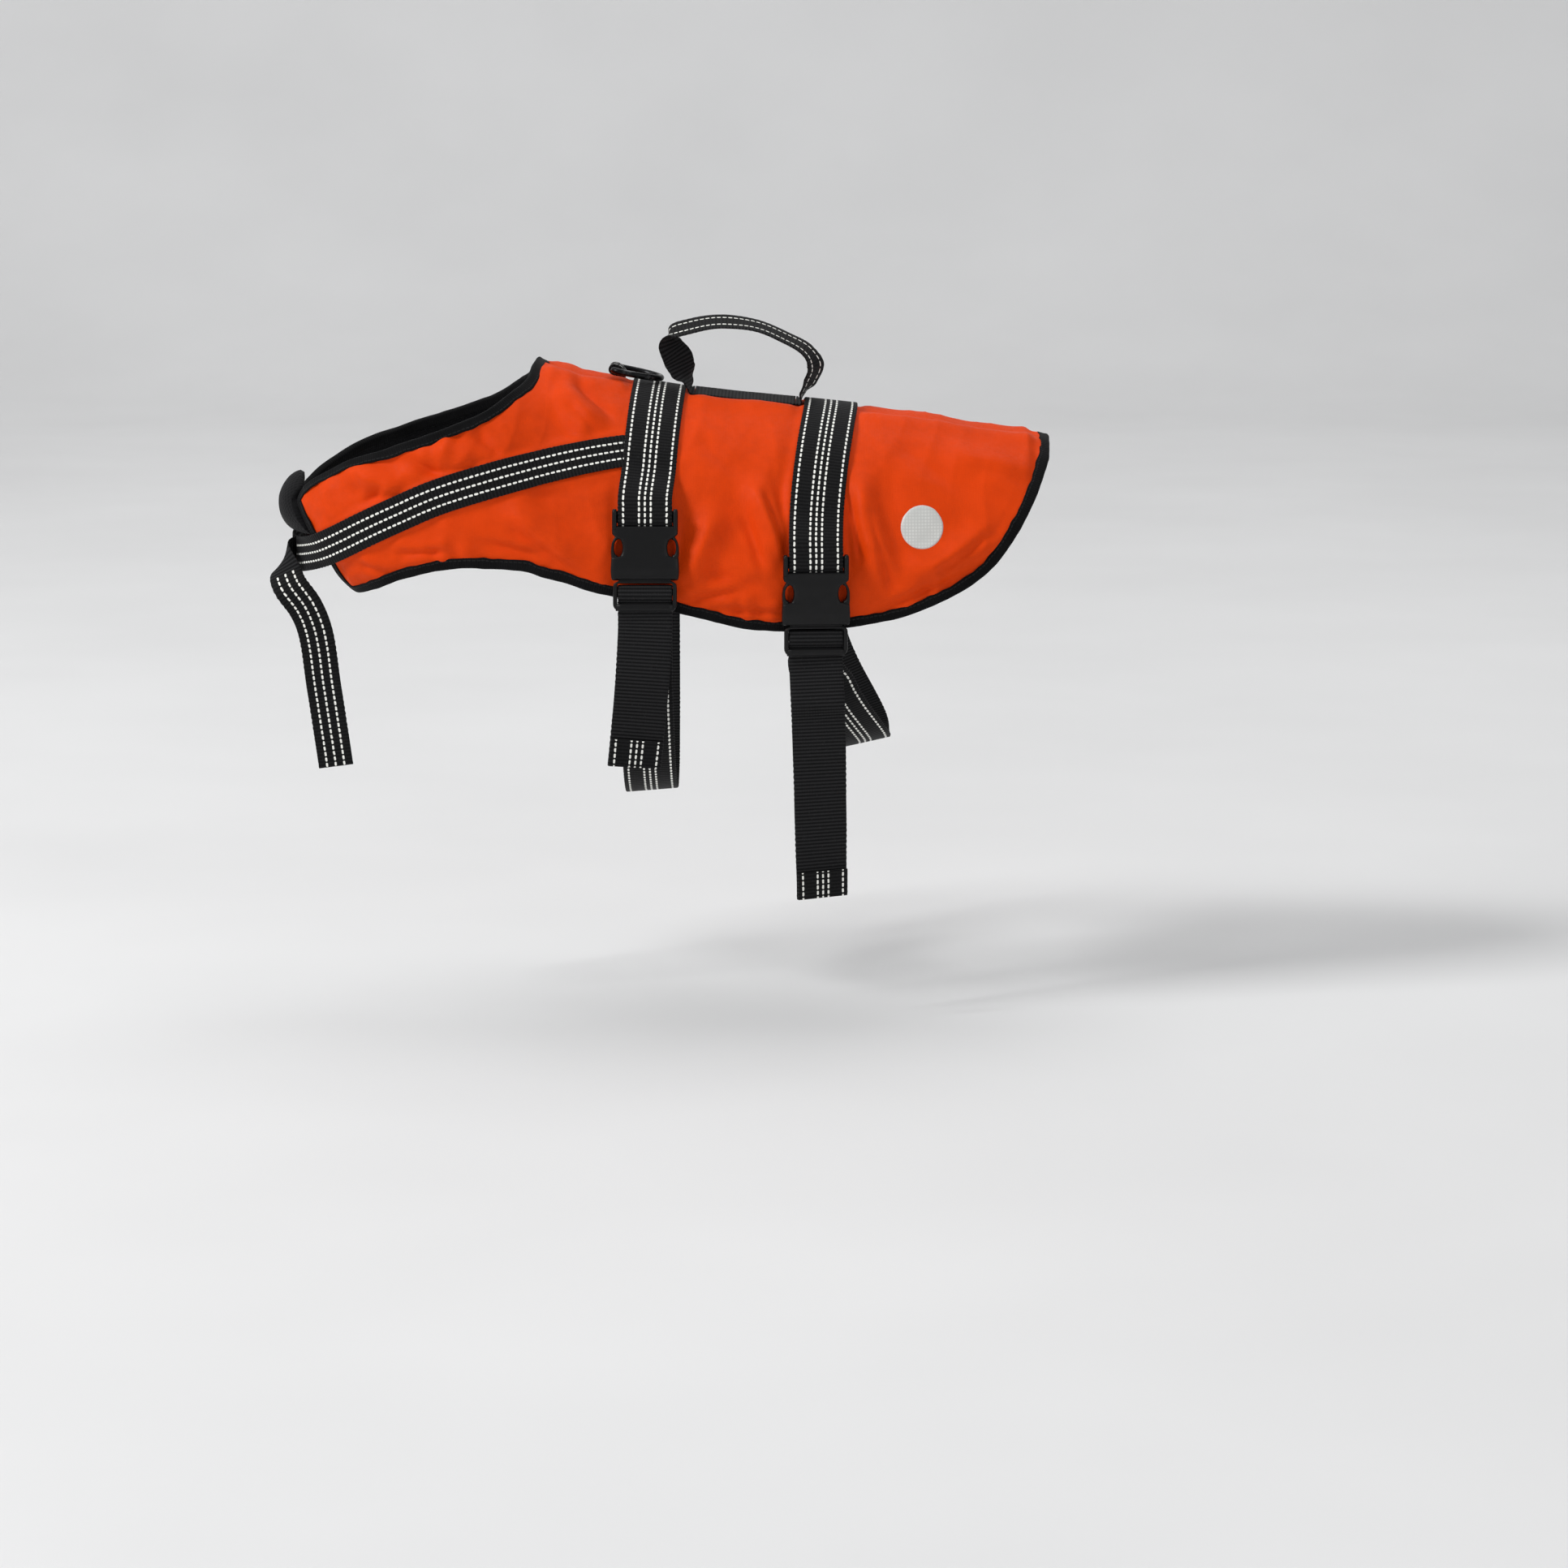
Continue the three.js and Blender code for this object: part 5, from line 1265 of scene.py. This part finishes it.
def chest_line_rows(side, out):
    """Chest webbing rows on a wing: across is the run crossed with the surface normal."""
    line = np.concatenate(([(-77, -28.5), (-83.5, -29.4)], CHEST_LINE[1:]))
    section, angle = side_view(line[:, 0], line[:, 1])
    at = lifted(section, angle, np.concatenate(([out - 2, out - 0.5], np.full(len(line) - 2, out))))
    ahead = np.concatenate((at[1:], at[-1:]))
    behind = np.concatenate((at[:1], at[:-1]))
    across = unit(np.cross(unit(ahead - behind), outward(section, angle)))
    mirror = (1, -side, 1)
    return list(zip(at * mirror, across * mirror))


# Operators


class JacketOperator:
    bl_options = {"REGISTER", "UNDO"}


class JACKET_OT_panels(JacketOperator, bpy.types.Operator):
    """Make the two padded side panels"""
    bl_idname = "jacket.panels"
    bl_label = "Side panels"

    def execute(self, context):
        sizes = context.scene.jacket_panels
        for name, side in (("left", -1), ("right", 1)):
            obj = dress(panel_object(f"side_panel_{name}", side, sizes), "shell_fabric", f"panel_{name}")
        return {"FINISHED"}


class JACKET_OT_bindings(JacketOperator, bpy.types.Operator):
    """Make the edge tapes round the neck and round the hem"""
    bl_idname = "jacket.bindings"
    bl_label = "Edge bindings"

    def execute(self, context):
        depth = context.scene.jacket_panels.edge / MM
        for name, (base, normal) in zip(("neck", "hem"), borders()):
            base, normal = even(smooth_line(base, 2), smooth_line(normal, 8))
            obj, length = tape_object(f"edge_tape_{name}", base, normal, depth)
            dress(obj, "binding", f"{name}_binding")
        return {"FINISHED"}


class JACKET_OT_girth_straps(JacketOperator, bpy.types.Operator):
    """Make the girth and belly webbing with its hanging ends"""
    bl_idname = "jacket.girth_straps"
    bl_label = "Girth straps"

    def execute(self, context):
        for name, girth in GIRTHS.items():
            girth_pieces(name, girth, TAILS[name])
        return {"FINISHED"}


class JACKET_OT_buckles(JacketOperator, bpy.types.Operator):
    """Make the side-release buckles"""
    bl_idname = "jacket.buckles"
    bl_label = "Buckles"

    def execute(self, context):
        full = context.scene.jacket_panels.full / MM
        frames = {name: girth_frame(girth, full) for name, girth in GIRTHS.items()}
        frames["chest"] = CHEST_FRAME
        for name, frame_of in frames.items():
            female_buckle(f"buckle_socket_{name}", frame_of, f"buckle_{name}_female")
            male_buckle(f"buckle_plug_{name}", frame_of, f"buckle_{name}_male")
        return {"FINISHED"}


class JACKET_OT_handle(JacketOperator, bpy.types.Operator):
    """Make the grab handle and its strip along the spine"""
    bl_idname = "jacket.handle"
    bl_label = "Grab handle"

    def execute(self, context):
        sizes = context.scene.jacket_webbing
        width, thick = sizes.chest_width / MM, sizes.chest_thick / MM
        full = context.scene.jacket_panels.full / MM
        finish = [material("handle_webbing_face"), material("nylon_webbing")]

        across_spine = math.cos(HANDLE_BASE["roll"]) * Y_AXIS + math.sin(HANDLE_BASE["roll"]) * Z_AXIS

        def flat(x):
            return np.array((x, 0, float(handle_rise(x, full, thick)))), across_spine

        start, stop, bend = HANDLE_BASE["from"], HANDLE_BASE["to"], HANDLE_BASE["bend"]
        strip = web_path([flat(x) for x in np.linspace(start, stop, 5)])
        base = web_object("handle_strip", strip, width, thick, 1, [finish[1], finish[1]])
        dress(base, "webbing", "handle_base")
        arch = []
        for x, z, turn, tilt in HANDLE:
            turn, tilt = math.radians(turn), math.radians(tilt)
            across = (math.sin(turn) * math.cos(tilt), math.cos(turn) * math.cos(tilt), math.sin(tilt))
            arch.append((np.array((x, 0, z), float), np.array(across)))
        feet = [flat(start - SEAM), flat(start - SEAM - bend), flat(stop + SEAM + bend), flat(stop + SEAM)]
        path = web_path(feet[:2] + arch + feet[2:], 1.2)
        grip = web_object("handle_grip", path, width, thick, -1, finish, wobble=0.2)
        dress(grip, "webbing", "handle_arch")
        return {"FINISHED"}


class JACKET_OT_leash_ring(JacketOperator, bpy.types.Operator):
    """Make the leash ring and the web loop that carries it"""
    bl_idname = "jacket.leash_ring"
    bl_label = "Leash ring"

    def execute(self, context):
        scene = context.scene
        full, wire = scene.jacket_panels.full / MM, scene.jacket_hardware.wire / MM
        bar, back, off = ring_frame(full, wire, scene.jacket_webbing.girth_thick / MM)
        half, depth, corner, bow = (RING[key] for key in ("half", "depth", "corner", "bow"))
        turn = np.radians(np.linspace(0, 90, 10))
        straight = np.column_stack((np.zeros(9), np.linspace(corner - half, half - corner, 9)))
        far = np.column_stack((corner * (1 - np.cos(turn)), half - corner + corner * np.sin(turn)))[1:]
        sweep = np.radians(np.linspace(0, 180, 49))
        arc = np.column_stack((depth - bow + bow * np.sin(sweep), half * np.cos(sweep)))
        near = far[::-1] * (1, -1)
        line = np.concatenate((straight, far, arc, near))
        at = bar + line[:, :1] * back + line[:, 1:] * Y_AXIS
        run = unit(np.roll(at, -1, 0) - np.roll(at, 1, 0))
        wide = unit(np.cross(run, off))
        t = np.linspace(0, 2 * np.pi, 20, endpoint=False)
        points = (at[:, None] + np.cos(t)[None, :, None] * wide[:, None] * wire / 2
                  + np.sin(t)[None, :, None] * off * wire / 2)
        parts = [(ring_faces(len(at), len(t)), 0)]
        ring = make_object("leash_dee", points.reshape(-1, 3), parts, [material("black_coated_steel")])
        dress(ring, "ring_metal", "leash_ring", body="ring")

        thick = RING_LOOP["thick"]
        reach, end = wire / 2 + SEAM + thick / 2, RING_LOOP["end"] - RING["bar"]
        lower = bar - off * reach
        rows = [lower + back * end, lower + back * end / 2]
        for angle in np.radians((-90, -45, 0, 45, 90)):
            rows.append(bar - back * reach * math.cos(angle) + off * reach * math.sin(angle))
        rows.append(bar + off * (reach - 1) + back * end / 2)
        rows.append(lower + back * end + off * (thick + SEAM))
        path = web_path([(at_row, Y_AXIS) for at_row in rows], 0.8)
        loop = web_object(
            "ring_web_loop", path, RING_LOOP["width"], thick, -1,
            [material("handle_webbing_face"), material("nylon_webbing")], wobble=0.05)
        dress(loop, "webbing", "ring_loop")
        return {"FINISHED"}


class JACKET_OT_chest(JacketOperator, bpy.types.Operator):
    """Make the chest pad, the chest webbing and its hanging end"""
    bl_idname = "jacket.chest"
    bl_label = "Chest"

    def execute(self, context):
        sizes = context.scene.jacket_webbing
        width, thick = sizes.chest_width / MM, sizes.chest_thick / MM
        full = context.scene.jacket_panels.full / MM
        finish = [material("chest_webbing_face"), material("nylon_webbing")]
        out = full + WEB_LIFT + thick / 2
        left = chest_line_rows(-1, out) + local_rows(CHEST_FRAME, CHEST_UNDER_ADJUSTER)
        right = chest_line_rows(1, out) + local_rows(CHEST_FRAME, CHEST_OVER_COLLAR)
        for name, rows, face in (("left", left, 1), ("right", right, -1)):
            path = web_path(rows)
            strap = web_object(f"chest_webbing_{name}", path, width, thick, face, finish)
            dress(strap, "webbing", f"chest_strap_{name}")
        over = [(at, -across) for at, across in local_rows(CHEST_FRAME, OVER_BAR)]
        hang = [(np.array(row[:3]), np.array((row[3], 0, row[4]))) for row in CHEST_TAIL]
        path = web_path(over + hang, 1.2)
        end = web_object("chest_webbing_end", path, width, thick, 1, finish, wobble=0.3, plain=CHEST_PLAIN)
        dress(end, "webbing", "chest_tail")
        self.pad()
        return {"FINISHED"}

    def pad(self):
        """The padded piece between the wings: a grid on the rounded chest, thickest in its middle."""
        t, v = np.meshgrid(np.linspace(0, 1, 90), np.linspace(0, 1, 44), indexing="ij")
        rim, square = CHEST_PAD["rim"], CHEST_PAD["square"]

        def swell(u):
            return np.sin(np.pi * (rim + (1 - 2 * rim) * u))

        edge_z = CHEST_PAD["top"] + (CHEST_PAD["bottom"] - CHEST_PAD["top"]) * v
        low = CHEST_PAD["from_wing"] - wing_edge("left", edge_z)
        high = wing_edge("right", edge_z) - CHEST_PAD["from_wing"]
        z = edge_z + CHEST_PAD["arch"] * (1 - v) * np.maximum(np.sin(np.pi * t), 0) ** square
        y = low + (high - low) * t
        pillow = np.sin(np.pi * (0.015 + 0.97 * v)) ** 0.55
        out = CHEST_PAD["edge"] + (CHEST_PAD["thick"] - CHEST_PAD["edge"]) * pillow
        out += CHEST_PAD["bulge"] * pillow * swell(t) ** square
        soft = crinkle_field(y, z, CHEST_PAD["seed"], ((9, 0.6), (5, 0.4)))
        out += CHEST_PAD["crinkle"] * soft * swell(v) * swell(t)
        inner, outer = chest_points(y, z, np.zeros_like(y)), chest_points(y, z, out)
        inner_faces, outer_faces, rim_faces = shell_parts(*y.shape)
        points = np.concatenate((inner.reshape(-1, 3), outer.reshape(-1, 3)))
        uv = np.concatenate((np.stack((y, z), -1).reshape(-1, 2),) * 2)
        parts = [(outer_faces, 0), (rim_faces, 0), (inner_faces, 1)]
        finish = [material("spacer_mesh"), material("knitted_mesh_lining")]
        pad = make_object("chest_padding", points, parts, finish, uv)
        dress(pad, "pad_fabric", "chest_pad")


# The disc's middle in side view, the height of its face and how far its back lies in the cloth.
DISC_AT = (126.8, -77.5)
DISC = {"face": 0.55, "lift": 0.05, "back": 0.25}


class JACKET_OT_disc(JacketOperator, bpy.types.Operator):
    """Make the plain reflective disc on the left panel"""
    bl_idname = "jacket.disc"
    bl_label = "Reflective disc"

    def execute(self, context):
        scene = context.scene
        radius = scene.jacket_hardware.disc / MM
        outer = panel_surface(-1, scene.jacket_panels)[1].reshape(-1, 3) - (DISC_AT[0], 0, DISC_AT[1])
        px, py, pz = outer[np.hypot(outer[:, 0], outer[:, 2]) < radius * 1.5].T
        reach, turn = np.meshgrid(
            np.linspace(0.02, 1, 14), np.linspace(0, 2 * np.pi, 72, endpoint=False), indexing="ij")
        x, z = radius * reach * np.cos(turn), radius * reach * np.sin(turn)

        def terms(a, b):
            """Products of powers of a and b up to the fourth in all."""
            return np.stack([a ** i * b ** j for i in range(5) for j in range(5 - i)], -1)

        weights = np.linalg.lstsq(terms(px, pz), py, rcond=None)[0]
        y = terms(x, z) @ weights
        front = DISC["face"] * np.sqrt(np.clip(1 - reach ** 24, 0, 1))
        face, back = (np.stack((x + DISC_AT[0], side, z + DISC_AT[1]), -1)
                      for side in (y - DISC["lift"] - front, y + DISC["back"]))
        points = np.concatenate((face, back[::-1]))
        parts = [(faces, 0) for faces in tube_parts(*points.shape[:2])]
        disc = make_object("reflective_disc", points.reshape(-1, 3), parts, [material("glass_bead_film")])
        dress(disc, "shell_fabric")
        return {"FINISHED"}


# The sweep in mm: its floor from front to rise, its half width, the radius of its bend and its height.
SWEEP = {"front": -14000, "side": 14000, "bend_from": 4200, "radius": 1800, "height": 9000}
# The camera in metres and degrees, and the middle that the lights face.
CAMERA = {"at": (0.0298, -3.0, 0.2866), "down": 10.652, "lens": 95.7, "film": 36, "far": 50}
AIM = Vector((-0.03, 0, -0.08))
TOP_LIGHT_SHARE = 0.4
AIR = {"colour": "#FCFDFF", "strength": 0.36}


class JACKET_OT_stage(JacketOperator, bpy.types.Operator):
    """Make the floor, the backdrop, the lights and the camera"""
    bl_idname = "jacket.stage"
    bl_label = "Stage"

    def execute(self, context):
        scene = context.scene
        settings = scene.jacket_stage
        t = np.radians(np.linspace(0, 90, 24))
        end = SWEEP["bend_from"] + SWEEP["radius"]
        depth = np.concatenate(([SWEEP["front"]], SWEEP["bend_from"] + SWEEP["radius"] * np.sin(t), [end]))
        rise = np.concatenate(([0], SWEEP["radius"] * (1 - np.cos(t)), [SWEEP["height"]]))
        x, y = np.meshgrid(np.linspace(-SWEEP["side"], SWEEP["side"], 12), depth, indexing="ij")
        z = np.broadcast_to(rise + settings.floor_height / MM, x.shape)
        sweep = make_object(
            "studio_sweep", np.stack((x, y, z), -1).reshape(-1, 3), [(grid_faces(*x.shape), 0)],
            [material("matt_studio_board")])

        lens = bpy.data.cameras.new("photo_camera")
        lens.lens, lens.sensor_width, lens.clip_end = CAMERA["lens"], CAMERA["film"], CAMERA["far"]
        camera = bpy.data.objects.new("photo_camera", lens)
        camera.location = CAMERA["at"]
        camera.rotation_euler = (math.radians(90 - CAMERA["down"]), 0, 0)
        scene.collection.objects.link(camera)
        scene.camera = camera

        for name, spot, size, power in (
                ("key_light", (-4.2, -1.9, 3.6), 1.5, settings.key_power),
                ("fill_light", (4.4, -5.2, 2.4), 4.2, settings.fill_power),
                ("top_light", (0.4, 1.8, 5.2), 3.6, settings.key_power * TOP_LIGHT_SHARE)):
            light = bpy.data.lights.new(name, "AREA")
            light.energy, light.size = power, size
            holder = bpy.data.objects.new(name, light)
            holder.location = spot
            holder.rotation_euler = (AIM - Vector(spot)).to_track_quat("-Z", "Y").to_euler()
            scene.collection.objects.link(holder)

        world = bpy.data.worlds.new("studio_air")
        world.use_nodes = True
        background = world.node_tree.nodes["Background"]
        background.inputs["Color"].default_value = rgba(linear(AIR["colour"]))
        background.inputs["Strength"].default_value = AIR["strength"]
        scene.world = world
        scene.view_settings.view_transform = "Standard"
        return {"FINISHED"}


STEPS = ("panels", "bindings", "girth_straps", "buckles", "handle", "leash_ring", "chest", "disc", "stage")


class JACKET_PT_sidebar(bpy.types.Panel):
    bl_label = "Dog life jacket"
    bl_idname = "JACKET_PT_sidebar"
    bl_space_type = "VIEW_3D"
    bl_region_type = "UI"
    bl_category = "Jacket"

    def draw(self, context):
        for group in GROUPS:
            box = self.layout.box()
            values = getattr(context.scene, group)
            for key in values.__annotations__:
                box.prop(values, key)
        for step in STEPS:
            self.layout.operator(f"jacket.{step}")


GROUPS = {
    "jacket_panels": JacketPanels, "jacket_webbing": JacketWebbing, "jacket_hardware": JacketHardware,
    "jacket_stage": JacketStage,
}
CLASSES = (
    *GROUPS.values(), JACKET_OT_panels, JACKET_OT_bindings, JACKET_OT_girth_straps, JACKET_OT_buckles,
    JACKET_OT_handle, JACKET_OT_leash_ring, JACKET_OT_chest, JACKET_OT_disc, JACKET_OT_stage,
    JACKET_PT_sidebar,
)


def register():
    for cls in CLASSES:
        bpy.utils.register_class(cls)
    for name, group in GROUPS.items():
        setattr(bpy.types.Scene, name, PointerProperty(type=group))


def unregister():
    for name in GROUPS:
        delattr(bpy.types.Scene, name)
    for cls in reversed(CLASSES):
        bpy.utils.unregister_class(cls)


def main():
    """Makes every piece in order."""
    register()
    for step in STEPS:
        getattr(bpy.ops.jacket, step)()


if __name__ == "__main__":
    main()
